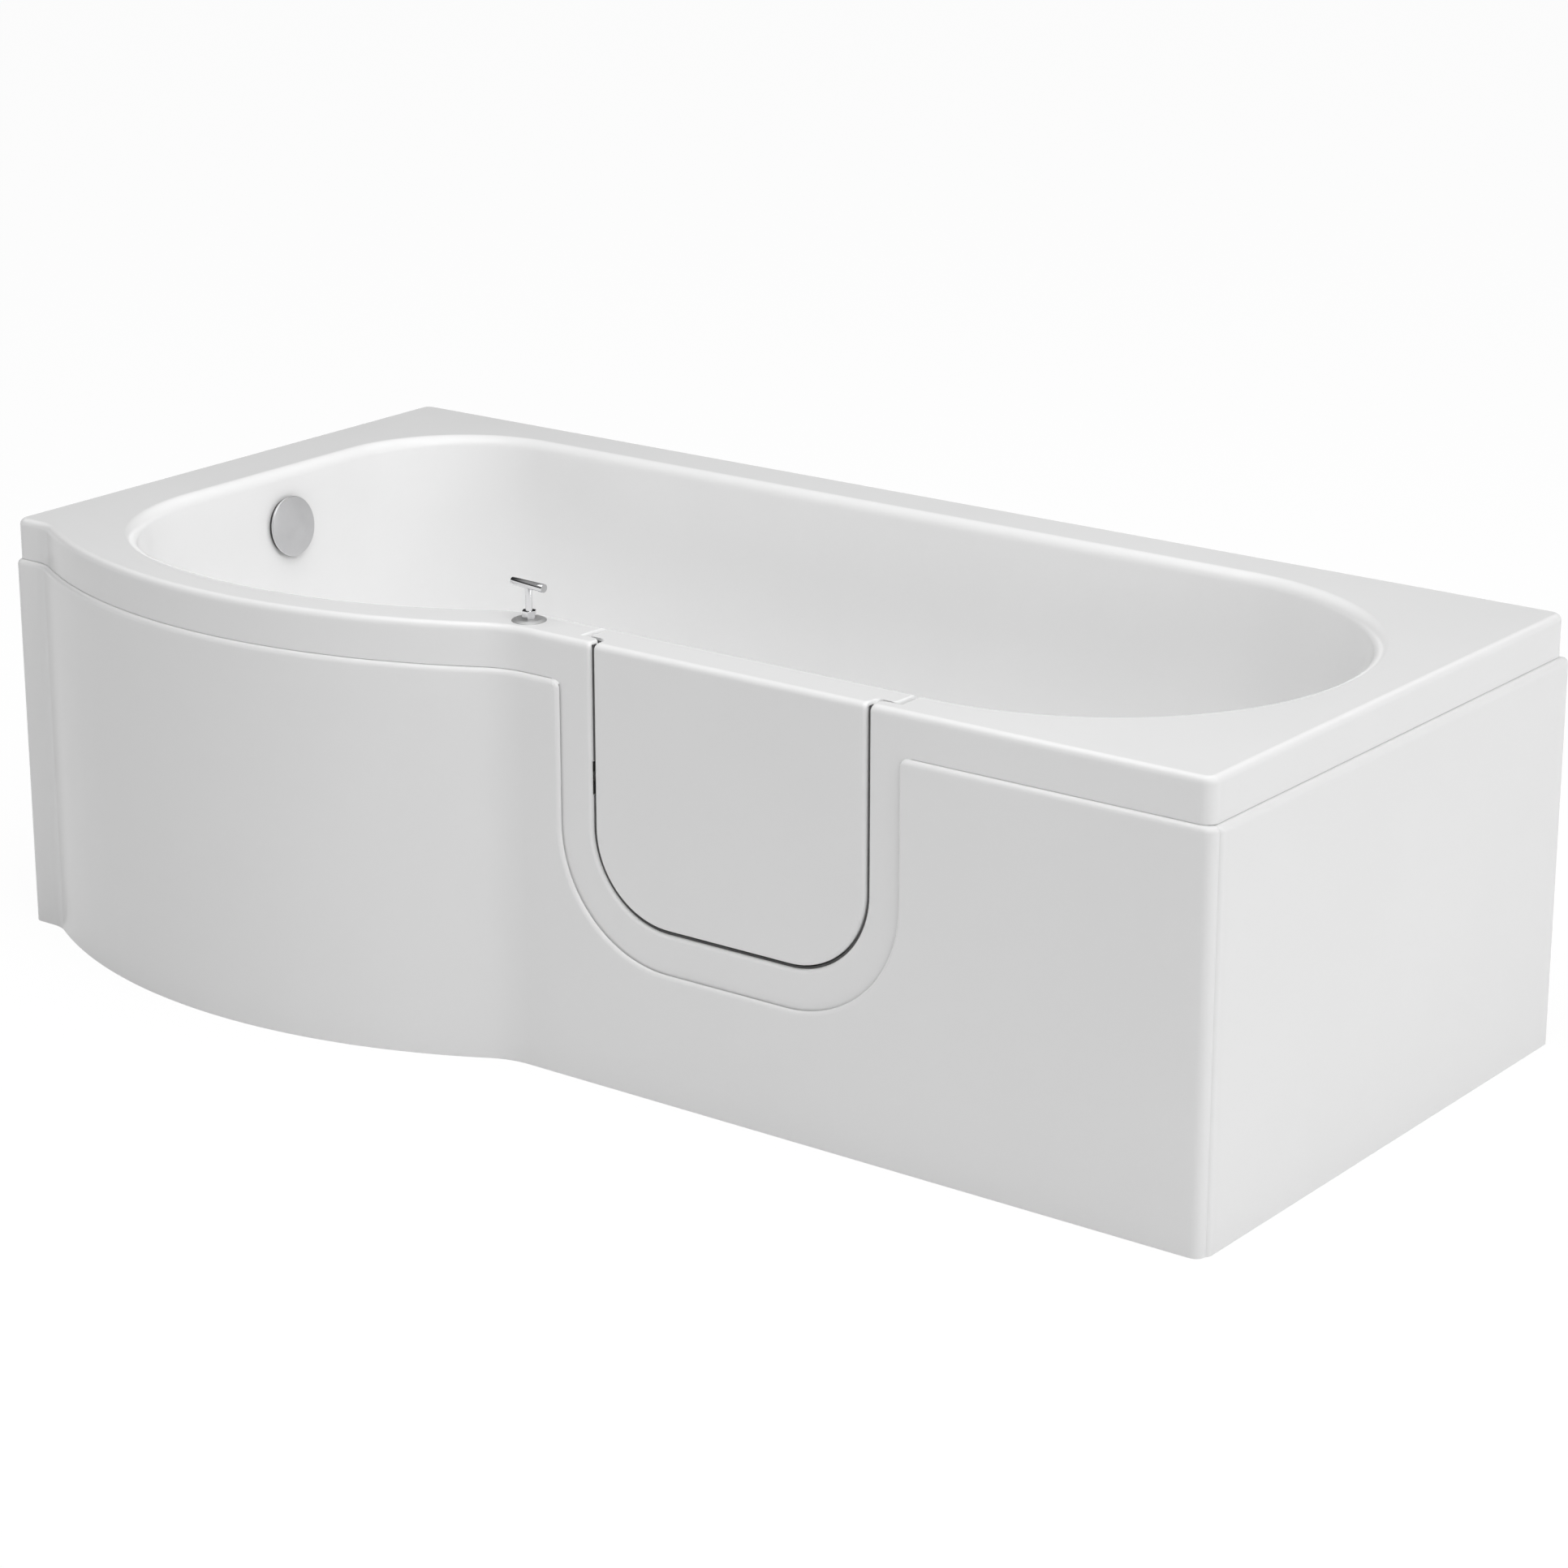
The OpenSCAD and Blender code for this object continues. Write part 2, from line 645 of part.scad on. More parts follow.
module foot_rods() color("silver") place()
    for (foot = feet) rod_z(foot[0], foot[1], [5, board_z + nut_h + 4], rod_d);

module nut(x, y, z, w, h, bore) difference() {
    translate([x, -y, z]) cylinder(d = w / cos(30), h = h, $fn = 6);
    rod_z(x, y, [z - 1, z + h + 1], bore);
}

module foot_nuts() color("silver") place() for (foot = feet)
    for (z = [board_z, board_z - rail_t - nut_h]) nut(foot[0], foot[1], z, nut_w, nut_h, rod_d + 2 * fit);

module foot_pads() color("dimgray") place() for (foot = feet) difference() {
    union() {
        rod_z(foot[0], foot[1], [0, 4], pad_d);
        translate([foot[0], -foot[1], 4]) cylinder(d1 = pad_d * 0.8, d2 = rod_d + 10, h = 8);
        rod_z(foot[0], foot[1], [11, 14], rod_d + 10);
    }
    rod_z(foot[0], foot[1], [5, 15], rod_d + 2 * fit);
}

module rim_batten_back() color("burlywood") place() difference() {
    span([batten_end, bath_l - batten_end], [shell_t + clear, shell_t + clear + batten_w],
        [rim_under_z - batten_w, rim_under_z]);
    bracket_screw_places() rotate([180, 0, 0]) screw(screw_d + 2 * fit, screw_l + 1);
}

module rim_batten_left() color("burlywood") place()
    span([shell_t + clear, shell_t + clear + batten_w], [batten_end, narrow_w - batten_end],
        [rim_under_z - batten_w, rim_under_z]);

module rim_batten_right() color("burlywood") place()
    span([bath_l - shell_t - clear - batten_w, bath_l - shell_t - clear], [batten_end, narrow_w - batten_end],
        [rim_under_z - batten_w, rim_under_z]);

bracket_top = rim_under_z - batten_w;

bracket_in = shell_t + clear;
bracket_low = skirt_z - 60;

module bracket_screw_places() {
    for (x = bracket_xs) for (side = [-1, 1])
        translate([x + side * bracket_w / 4, -bracket_in - batten_w / 2 - 2, bracket_top - bracket_t])
            children();
}

// Bent steel strips: up the wall, out below the rim's edge, up inside it and under the batten
module wall_brackets() color("lightsteelblue") place() difference() {
    for (x = bracket_xs) translate([x - bracket_w / 2, 0, 0]) rotate([90, 0, 90]) linear_extrude(bracket_w)
        polygon([
            [-bracket_in - batten_w, bracket_top], [-bracket_in, bracket_top],
            [-bracket_in, skirt_z - 4], [-clear, skirt_z - 9], [-clear, bracket_low],
            [-clear - bracket_t, bracket_low], [-clear - bracket_t, skirt_z - 11],
            [-bracket_in - bracket_t, skirt_z - 6], [-bracket_in - bracket_t, bracket_top - bracket_t],
            [-bracket_in - batten_w, bracket_top - bracket_t]
        ]);
    for (x = bracket_xs) rod_y(x, [-1, bracket_in + bracket_t], skirt_z - 36, wall_hole_d);
    bracket_screw_places() rotate([180, 0, 0]) screw(screw_d + 2 * fit, screw_l + 1);
}

module bracket_screws() color("silver") place() bracket_screw_places()
    rotate([180, 0, 0]) screw(screw_d, screw_l);

// Section of the front panel: depth behind its face, and height, with the hook or with just a trace of it
function panel_section(flange, hook_w, hook_up) = concat(
    [[0, 0], [panel_t, 0], [panel_t, panel_top - panel_t], [flange, panel_top - panel_t]],
    [[flange, panel_top + hook_up], [flange - hook_w, panel_top + hook_up], [flange - hook_w, panel_top]],
    arc(panel_edge_r, panel_top - panel_edge_r, panel_edge_r, 90, 180, 5)
);
full_section = panel_section(hook_in + panel_t, panel_t, hook_h);
end_section = panel_section(flange_w, 0.2, 0.2);

// Line in plan at a depth behind the front panel's face, from the shower end to the bathing end
panel_bow_r = bow_r + panel_proud;
hook_start = rim_corner_r + 3;
hook_end = bath_l - rim_corner_r - 3;
function panel_line(e) = concat(
    [for (x = [0, hook_start - 0.5, hook_start]) [x, e - panel_y]],
    arc(hollow_left_x, -hollow_left_y, bow_start_r - panel_proud + e, 90, bow_start + 180, n_fillet),
    arc(bow_x, -bow_y, panel_bow_r - e, mix(bow_start, bow_end, 0.03), mix(bow_start, bow_end, 0.97),
        n_panel),
    arc(hollow_right_x, -hollow_right_y, bow_fillet_r - panel_proud + e, bow_end + 180, 90, n_fillet),
    [for (x = [hook_end, hook_end + 0.5, panel_right]) [x, e - panel_y]]
);
last_station = 2 * n_fillet + n_panel + 5;
panel_rings = [for (k = [0 : last_station])
    [for (p = k < 2 || k > last_station - 2 ? end_section : full_section)
        let (line = panel_line(p[0])) [line[k][0], line[k][1], p[1]]]];

module front_panel() color("white") place() difference() {
    union() {
        loft(panel_rings);
        u_slab(cut_half + 6, cut_z - 6, cut_r + 6, panel_top - panel_edge_r, [surround_y + clear, panel_y - 1]);
        span([0.1, panel_t], [panel_y - 25, panel_y - 1], [0.1, panel_top - panel_edge_r]);
        span([panel_right - panel_t, panel_right - 0.1], [panel_y - flange_w, panel_y - 1],
            [0.1, panel_top - panel_edge_r]);
    }
    u_slab(cut_half, cut_z, cut_r, rim_h, [panel_y - past, panel_y + past]);
    span([surround_left - 2, 2 * door_x - surround_left + 2], [panel_y - past, surround_y + clear],
        [-1, rim_h]);
}

module end_panel() color("white") place() difference() {
    union() {
        difference() {
            span([overall_l - return_w, overall_l], [1, end_front_y], [0, panel_top]);
            span([overall_l - return_w - 1, end_in_x], [1 + panel_t, end_front_y - panel_t],
                [-1, panel_top - panel_t]);
        }
        span([bath_l - shell_t - clear - panel_t + 0.5, bath_l - shell_t - clear], [30, end_front_y - 10],
            [panel_top - panel_t, panel_top + hook_h]);
    }
    for (y = [1, end_front_y]) translate([overall_l, -y, -1]) rotate([0, 0, 45])
        cube([panel_edge_r, panel_edge_r, 2 * panel_top + 8], center = true);
}

post_right = overall_l - return_w - clear;
post_w = 42;
post_front = panel_in_y - clear - post_w;

module corner_post() color("burlywood") place()
    span([post_right - post_w, post_right], [post_front, panel_in_y - clear],
        [0, panel_top - panel_t - clear]);

module front_floor_batten() color("burlywood") place()
    span([hollow_right_x + 10, post_right - post_w - clear],
        [panel_in_y - clear - batten_w, panel_in_y - clear], [0, batten_w]);

module end_floor_batten() color("burlywood") place()
    span([end_in_x - clear - batten_w, end_in_x - clear], [20, post_front - clear], [0, batten_w]);

module bow_floor_batten() color("burlywood") place() translate([bow_x, -bow_y, 0])
    rotate([0, 0, bow_start + 3]) rotate_extrude(angle = bow_end - bow_start - 6, $fn = 180)
        translate([panel_bow_r - panel_t - clear - 2 * batten_w, 0]) square([2 * batten_w, board_t]);

// Angle clips that hold the front panel to its floor batten
clip_step = door_half + 29;
clip_right = mix(door_x + clip_step, post_right - post_w, 0.63);
clip_xs = [door_x - clip_step, door_x, door_x + clip_step, clip_right];
clip_half = batten_w / 2;
clip_t = 1.5;
clip_y = panel_in_y - clear;

module panel_clips() color("silver") place() for (x = clip_xs) {
    span([x - clip_half, x + clip_half], [clip_y - batten_w + 4, clip_y], [batten_w, batten_w + clip_t]);
    span([x - clip_half, x + clip_half], [clip_y - clip_t, clip_y], [batten_w, 2 * batten_w]);
}

module handle_bar() color("silver") place() translate([handle_x, -handle_y, rim_h + bar_h]) difference() {
    rotate([0, 90, bar_turn]) cylinder(d = bar_d, h = bar_l, center = true);
    translate([0, 0, -bar_d]) cylinder(d = spindle_d + 2 * fit, h = bar_d);
}

module handle_spindle() color("silver") place()
    rod_z(handle_x, handle_y, [spindle_low, rim_h + bar_h], spindle_d);

module handle_collar() color("silver") place() difference() {
    union() {
        translate([handle_x, -handle_y, rim_h + rosette_t])
            cylinder(d = collar_w / cos(30), h = collar_h, $fn = 6);
        rod_z(handle_x, handle_y, [rim_under_z - 10, rim_h + rosette_t + 1], neck_d);
    }
    rod_z(handle_x, handle_y, [rim_under_z - 11, rim_h + rosette_t + collar_h + 1], spindle_d + 2 * fit);
}

module handle_rosette() color("silver") place() translate([handle_x, -handle_y, rim_h]) difference() {
    rotate_extrude() polygon([
        [0, 0], [rosette_d / 2, 0], [rosette_d / 2, 0.8], [rosette_d / 2 - 4, rosette_t], [0, rosette_t]
    ]);
    translate([0, 0, -1]) cylinder(d = neck_d + 2 * fit, h = rosette_t + 2);
}

module collar_backnut() color("silver") place()
    nut(handle_x, handle_y, rim_under_z - 7, nut_w, 7, neck_d + 2 * fit);

// A straight-sided tooth pointing along +y from the pitch line
module tooth() polygon([
    [-tooth_pitch * 0.29, -tooth_in - 0.3], [-tooth_pitch * 0.09, tooth_out],
    [tooth_pitch * 0.09, tooth_out], [tooth_pitch * 0.29, -tooth_in - 0.3]
]);

function turned(p, a) = [p[0] * cos(a) - p[1] * sin(a), p[0] * sin(a) + p[1] * cos(a)];

// Outline of the pinion, tooth by tooth
tooth_sides = [[0.25, -tooth_in], [0.1, tooth_out], [-0.1, tooth_out], [-0.25, -tooth_in]];
pinion_ring = [for (i = [0 : pinion_teeth - 1]) for (side = tooth_sides)
    turned([side[0] * tooth_pitch, pitch_r + side[1]], 180 + i * 360 / pinion_teeth)];

module lock_pinion() color("silver") place() translate([handle_x, -handle_y, bolt_z - 5]) linear_extrude(10)
    difference() {
        polygon(pinion_ring);
        circle(d = spindle_d + 2 * fit);
    }

module lock_bolt() color("silver") place() union() {
    translate([0, 0, bolt_z - bar_half_z]) linear_extrude(2 * bar_half_z) union() {
        translate([bolt_bar_left, -bolt_y - bolt_d / 2])
            square([bolt_bar_right - bolt_bar_left, bolt_y + bolt_d / 2 - rack_y - tooth_in]);
        for (i = [-5 : 1]) translate([handle_x + (i + 0.5) * tooth_pitch, -rack_y]) tooth();
    }
    rod_x([bolt_bar_right - 1, doorway_left], bolt_y, bolt_z, bolt_d);
}

module lock_case() color("lightsteelblue") place() difference() {
    union() {
        span([case_left, surround_left], [case_back_y, case_front_y],
            [bolt_z - case_half_z + case_t, bolt_z + case_half_z]);
        span([surround_left - tab_t, surround_left], [case_back_y + 2, case_front_y - 8],
            [bolt_z - case_half_z - 16, bolt_z + case_half_z + 16]);
    }
    span([case_left + case_t, surround_left - tab_t], [case_back_y + case_t, case_front_y - case_t],
        [bolt_z - case_half_z - 1, bolt_z + case_half_z - case_t]);
    rod_z(handle_x, handle_y, [bolt_z, bolt_z + case_half_z + 1], spindle_d + 2 * fit);
    rod_x([surround_left - 5, surround_left + 1], bolt_y, bolt_z, bolt_d + 2 * fit);
    lock_screw_places() rotate([0, -90, 0]) screw(screw_d + 2 * fit, 18);
}

module lock_cover() color("lightsteelblue") place() difference() {
    span([case_left, surround_left - tab_t], [case_back_y, case_front_y],
        [bolt_z - case_half_z, bolt_z - case_half_z + case_t]);
    rod_z(handle_x, handle_y, [bolt_z - case_half_z - 1, bolt_z], spindle_d + 2 * fit);
}

module lock_screws() color("silver") place() lock_screw_places()
    rotate([0, -90, 0]) screw(screw_d, screw_l + 2);

// A plate on a gap's side, with the bolt's hole
module gap_plate(x, bore) difference() {
    span([x, x + plate_t], [bolt_y - plate_w / 2 + 0.1, bolt_y + plate_w / 2 - 0.1],
        [bolt_z - plate_h / 2 + 0.1, bolt_z + plate_h / 2 - 0.1]);
    rod_x([x - 1, x + plate_t + 1], bolt_y, bolt_z, bore);
}

module lock_faceplate() color("silver") place() gap_plate(doorway_left - plate_t, bolt_d + 2 * fit);
module strike_plate() color("silver") place() gap_plate(door_left, bolt_hole_d);

function cap_dome_z(share) = cap_edge_t + (cap_t - cap_edge_t) * (1 - share * share);

module overflow_cap() color("silver") place() overflow_place() union() {
    translate([0, 0, cap_gap]) rotate_extrude() polygon(concat(
        [[0, 1.5], [cap_d / 2 - 4, 1.5], [cap_d / 2 - 1, 0], [cap_d / 2, 0.6]],
        [[cap_d / 2, cap_edge_t - cap_round], [cap_d / 2 - cap_round / 3, cap_edge_t - cap_round / 3]],
        [for (share = [1 : -0.1 : -0.01]) [(cap_d / 2 - cap_round) * share, cap_dome_z(share)]]
    ));
    translate([0, 0, 8 - body_under])
        cylinder(d = cap_stem_d, h = body_under + cap_gap - 6);
}

module overflow_flange() color("dimgray") place() overflow_place() difference() {
    union() {
        cylinder(d = cap_d - 4, h = 2.5);
        translate([0, 0, -shell_t - gasket_t - 6]) cylinder(d = waste_hole_d - 2, h = shell_t + gasket_t + 7);
    }
    translate([0, 0, -shell_t - gasket_t - 7]) cylinder(d = cap_stem_d + 2 * fit, h = 40);
    for (i = [0 : 5]) rotate([0, 0, 60 * i]) translate([15, 0, -20]) cylinder(d = 11, h = 40);
}

module overflow_gasket() color("dimgray") place() overflow_place()
    translate([0, 0, -shell_t - gasket_t]) difference() {
    cylinder(d = waste_hole_d + 16, h = gasket_t);
    translate([0, 0, -1]) cylinder(d = waste_hole_d, h = gasket_t + 2);
}

module overflow_body() color("gainsboro") place() difference() {
    union() {
        overflow_place() translate([0, 0, -body_under]) cylinder(d = body_d, h = body_deep);
        rod_z(pipe_x, waste_y, [pipe_top - 12, body_mid_z], pipe_d - 5);
        rod_z(pipe_x, waste_y, [pipe_top, body_mid_z], pipe_d + 4);
        rod_z(pipe_x, waste_y - cable_off, [pipe_top, body_mid_z], cable_d + 5);
    }
    overflow_place() translate([0, 0, 3 - body_under])
        cylinder(d = waste_hole_d - 1.8, h = body_deep + 1);
    rod_z(pipe_x, waste_y, [pipe_top - 13, body_mid_z], pipe_d - 9);
}

// A pipe that drops at the shower end, bends and runs level to the waste, y counted from the wall side
module drop_pipe(d, y, top, level, bend, end) {
    rod_z(pipe_x, y, [level + bend, top], d);
    translate([pipe_x + bend, -y, level + bend]) rotate([90, 0, 0]) rotate([0, 0, 180])
        rotate_extrude(angle = 90) translate([bend, 0]) circle(d = d);
    rod_x([pipe_x + bend, end], y, level, d);
}

module overflow_pipe() color("whitesmoke") place() difference() {
    drop_pipe(pipe_d, waste_y, pipe_top, pipe_z, pipe_bend_r, waste_x - waste_body_d / 2 - 4);
    drop_pipe(pipe_d - 4.9, waste_y, pipe_top + 1, pipe_z, pipe_bend_r, waste_x);
}

module popup_cable() color("dimgray") place()
    drop_pipe(cable_d, waste_y - cable_off, pipe_top, cable_z, cable_bend_r, waste_x - 16);

module waste_flange() color("silver") place() translate([waste_x, -waste_y, 0]) difference() {
    union() {
        translate([0, 0, basin_floor_z]) cylinder(d1 = flange_d, d2 = flange_d - 4, h = 2);
        translate([0, 0, shell_under_z - 16]) cylinder(d = waste_hole_d - 1, h = 22);
    }
    difference() {
        translate([0, 0, shell_under_z - 17]) cylinder(d = waste_hole_d - 8, h = 40);
        for (turn = [0, 90]) rotate([0, 0, turn]) translate([-30, -1.5, shell_under_z - 16]) cube([60, 3, 8]);
        translate([0, 0, shell_under_z - 16]) cylinder(d = 12, h = 8);
    }
    translate([0, 0, shell_under_z - 30]) cylinder(d = 6 + 2 * fit, h = 60);
}

module waste_gasket() color("dimgray") place()
    tube_z(waste_x, waste_y, [shell_under_z - gasket_t, shell_under_z], flange_d, waste_hole_d);

module waste_body() color("gainsboro") place() difference() {
    union() {
        rod_z(waste_x, waste_y, [shell_under_z - gasket_t - 5, shell_under_z - gasket_t], flange_d);
        rod_z(waste_x, waste_y, [waste_body_low, shell_under_z - gasket_t - 4], waste_body_d);
        rod_z(waste_x, waste_y, [tail_low, waste_body_low + 1], tail_d);
        rod_x([waste_x - waste_body_d / 2 - 4, waste_x - 20], waste_y, pipe_z, pipe_d + 2);
        rod_x([waste_x - waste_body_d / 2 - 16, waste_x - 20], waste_y, pipe_z, pipe_d - 5);
    }
    rod_z(waste_x, waste_y, [waste_body_low + 6, shell_under_z], waste_hole_d - 0.8);
    rod_z(waste_x, waste_y, [tail_low - 1, waste_body_low + 7], tail_d - 8);
    rod_x([waste_x - waste_body_d / 2 - 17, waste_x], waste_y, pipe_z, pipe_d - 9);
    rod_x([waste_x - waste_body_d, waste_x], waste_y - cable_off, cable_z, cable_d + 2 * fit);
}

module waste_plug() color("silver") place() translate([waste_x, -waste_y, basin_floor_z + 2 + clear]) union() {
    rotate_extrude() polygon(concat(
        [[0, 0], [waste_hole_d / 2 + 2, 0]],
        [for (a = [0 : 15 : 90]) [(waste_hole_d / 2 + 4) * cos(a), 2 + 4 * sin(a)]]
    ));
    translate([0, 0, -34]) cylinder(d = 6, h = 35);
}

module plug_seal() color("dimgray") place() translate([waste_x, -waste_y, basin_floor_z + 2 + clear])
    rotate_extrude() translate([waste_hole_d / 2 - 7, -1.5]) circle(1.5);

bath_shell();
baseboard();
rim_batten_back();
rim_batten_left();
rim_batten_right();
cradle_left();
cradle_middle();
cradle_right();
cradle_screws();
foot_rods();
foot_nuts();
foot_pads();
wall_brackets();
bracket_screws();
front_panel();
end_panel();
corner_post();
front_floor_batten();
end_floor_batten();
bow_floor_batten();
panel_clips();
door();
door_seal();
hinge_frame_leaves();
hinge_door_leaves();
hinge_pins();
hinge_frame_screws();
hinge_door_screws();
handle_bar();
handle_spindle();
handle_collar();
handle_rosette();
collar_backnut();
lock_pinion();
lock_bolt();
lock_case();
lock_cover();
lock_screws();
lock_faceplate();
strike_plate();
overflow_cap();
overflow_flange();
overflow_gasket();
overflow_body();
overflow_pipe();
popup_cable();
waste_flange();
waste_gasket();
waste_body();
waste_plug();
plug_seal();
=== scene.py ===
"""P-shaped shower bath with a walk-in door: looks, light and camera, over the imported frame."""

import json
import math

import bmesh
import bpy
from mathutils import Matrix, Vector


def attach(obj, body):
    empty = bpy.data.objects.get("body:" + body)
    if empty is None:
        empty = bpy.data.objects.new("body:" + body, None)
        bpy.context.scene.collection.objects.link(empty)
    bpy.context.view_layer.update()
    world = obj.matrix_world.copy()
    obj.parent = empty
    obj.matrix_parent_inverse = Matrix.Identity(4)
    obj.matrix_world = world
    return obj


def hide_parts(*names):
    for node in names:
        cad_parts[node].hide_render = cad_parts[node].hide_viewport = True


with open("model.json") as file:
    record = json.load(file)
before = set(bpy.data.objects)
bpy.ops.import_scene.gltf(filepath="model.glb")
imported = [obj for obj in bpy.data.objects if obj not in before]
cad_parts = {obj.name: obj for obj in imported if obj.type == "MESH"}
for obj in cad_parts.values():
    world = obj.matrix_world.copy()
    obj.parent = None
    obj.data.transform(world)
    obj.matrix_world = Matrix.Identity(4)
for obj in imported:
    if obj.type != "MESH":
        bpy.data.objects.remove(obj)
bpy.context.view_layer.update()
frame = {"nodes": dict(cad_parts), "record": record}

# Sizes in millimetres, as in the part's source: x from the shower end, y from the wall,
# z from the floor
OVERALL_L, OVERALL_W = 1684.0, 852.0

# The rim and the shell under it
LONG, WIDE, HIGH = 1675.0, 846.0, 509.0
NARROW = 744.0
SKIRT_Z = 460.0
SHELL = 5.0
EDGE_R = 8.0
CORNER_R = 14.0

# The bow in the rim's front: its middle, its reach to the right and to the left, and the
# hollow's share of the two radii at its right
BOW_X = 409.0
BOW_RIGHT, BOW_LEFT = 387.4, 374.2
BOW_HOLLOW = 0.1325

# The basin: the rims round it, the slopes of its walls over its depth, and its corner radii
# at the rim and at the floor
FLOOR_Z, FLOOR_R = 125.0, 40.0
DEPTH = HIGH - FLOOR_Z
BASIN_EDGE_R = 13.0
SHOWER_RIM, BACK_RIM, REST_RIM, BOW_RIM = 93.0, 75.0, 70.0, 57.0
BASIN_FRONT = 680.0
BASIN_X, BASIN_RIGHT = 414.0, 364.0
BASIN_HOLLOW = 0.189
SLOPE, REST_SLOPE = 45.0, 135.0
BACK_RADII, REST_RADII, FRONT_RADII = (165, 150), (301.5, 150), (245, 220)

# The panels: their flange's depth and their hook's height, plain and at the ends
PANEL_TOP = 459.5
PANEL_Y = 750.0
PANEL_T = 4.0
PANEL_END_R, PANEL_END_X = 12.0, 1681.0
PANEL_BACK_Y = 722.0
FLANGE, FLANGE_END = 15.3, 8.5
HOOK, HOOK_END = 16, 0.2
HOOK_X = (20.0, 1657.5)
CUT_HALF, CUT_Z, CUT_R = 227.5, 150.7, 145.5

# The doorway, from its middle line out, and the door in it
DOOR_X, DOOR_HALF = 1075.0, 186.0
JAMB_X = DOOR_X - DOOR_HALF
SILL_Z = 196.0
DOOR_R = 104.0
SURROUND_OUT, SURROUND_BACK = 53.5, 683.0
STEP_R, STEP_Y = 6, 725.0
REBATE = 24.7
GAP = 3.8
LIP_OUT, LIP_Y = 20.2, 721.2
DOOR_BACK = 684.0
STRIP_OUT = 2.4

# Fittings
HINGE_ZS = (345.0, 452.0)
HANDLE_X, HANDLE_Y = 779.0, 714.0
BOLT_Y, BOLT_Z, BOLT_HOLE_R = 734.3, 355.0, 5.4
PLATE_T, PLATE_HALF_Y, PLATE_HALF_Z = 1.2, 7, 19
WASTE_X, WASTE_Y, WASTE_R = 250.0, 378.0, 26
OVERFLOW_Z = 438.0
OVERFLOW = (SHOWER_RIM + SLOPE * (HIGH - OVERFLOW_Z) / DEPTH, WASTE_Y, OVERFLOW_Z)
LEAN = math.atan(SLOPE / DEPTH)
CAP_LOOKS = (math.cos(LEAN), 0, math.sin(LEAN))

# Cutters run from AHEAD of the bath to BEHIND its front wall; HAIR keeps their points apart
AHEAD, BEHIND, HAIR = 800, 600, 0.02
# The upper edges of a U-shaped body that doesn't lean
PLAIN = (1.0, 0.0, 0.0, 0.0, 735.0)
# The share of a bow left off at each end, so that its points don't meet the next arc's
TRIM = 0.01

# Points of a mesh that are nearer than this, in metres, are one
WELD = 2e-6


def place(x, y, z):
    """A point of the drawing, in metres in the row frame."""
    return ((x - OVERALL_L / 2) / 1000, (OVERALL_W / 2 - y) / 1000, z / 1000)


def mix(a, b, t):
    return a + (b - a) * t


def trimmed(a, b):
    """A range of angles without the last bit at each end."""
    return mix(a, b, TRIM), mix(a, b, 1 - TRIM)


def both_radii(reach, rise):
    """Radii together of a bow and a hollow that touch, from their reach and rise."""
    return (reach * reach + rise * rise) / (2 * rise)


BOW_RADII = both_radii(BOW_RIGHT, WIDE - NARROW)
BOW_END_R = BOW_HOLLOW * BOW_RADII
BOW_R = BOW_RADII - BOW_END_R
BOW_START_R = both_radii(BOW_LEFT, WIDE - NARROW) - BOW_R
BOW_Y = WIDE - BOW_R
BOW_END = math.degrees(math.asin(BOW_RIGHT / (BOW_R + BOW_END_R))) - 90
BOW_START = -90 - math.degrees(math.asin(BOW_LEFT / (BOW_R + BOW_START_R)))
BASIN_RADII = both_radii(BASIN_RIGHT, WIDE - BOW_RIM - BASIN_FRONT)
BASIN_END_R = BASIN_HOLLOW * BASIN_RADII
BASIN_BOW_R = BASIN_RADII - BASIN_END_R
BASIN_BOW_Y = WIDE - BOW_RIM - BASIN_BOW_R

# Points on each arc of the basin's and the rim's outline, from the back left corner round
COUNTS = (22, 30, 30, 12, 64, 28)


def arc(x, y, r, start, end, n):
    """Points on an arc, angles in degrees."""
    turns = [math.radians(mix(start, end, i / (n - 1))) for i in range(n)]
    return [(x + r * math.cos(a), y + r * math.sin(a)) for a in turns]


def basin_ring(t, e):
    """The basin's outline at a share t of its depth, drawn in by e; y is negative here."""
    n_back, n_rest, n_rest2, n_hollow, n_bow, n_front = COUNTS
    left = SHOWER_RIM + SLOPE * t + e
    back = -BACK_RIM - SLOPE * t - e
    front = -BASIN_FRONT + e
    right = LONG - REST_RIM - REST_SLOPE * t - e
    r_back = mix(*BACK_RADII, t) - e
    r_rest = mix(*REST_RADII, t) - e
    r_bow = BASIN_BOW_R - SLOPE * t - e
    r_hollow = BASIN_END_R + SLOPE * t + e
    r_front = mix(*FRONT_RADII, t) - e
    hollow_y = front - r_hollow
    hollow_x = BASIN_X + math.sqrt((r_bow + r_hollow) ** 2 - (hollow_y + BASIN_BOW_Y) ** 2)
    turn = math.degrees(math.atan2(hollow_y + BASIN_BOW_Y, hollow_x - BASIN_X))
    corner_x = left + r_front
    corner_y = -BASIN_BOW_Y - math.sqrt((r_bow - r_front) ** 2 - (corner_x - BASIN_X) ** 2)
    start = math.degrees(math.atan2(corner_y + BASIN_BOW_Y, corner_x - BASIN_X))
    return (
        arc(left + r_back, back - r_back, r_back, 180, 90, n_back)
        + arc(right - r_rest, back - r_rest, r_rest, 90, 0, n_rest)
        + arc(right - r_rest, front + r_rest, r_rest, 0, -90, n_rest2)
        + arc(hollow_x, hollow_y, r_hollow, 90, turn + 180, n_hollow)
        + arc(BASIN_X, -BASIN_BOW_Y, r_bow, *trimmed(turn, start), n_bow)
        + arc(corner_x, corner_y, r_front, start, -180, n_front)
    )


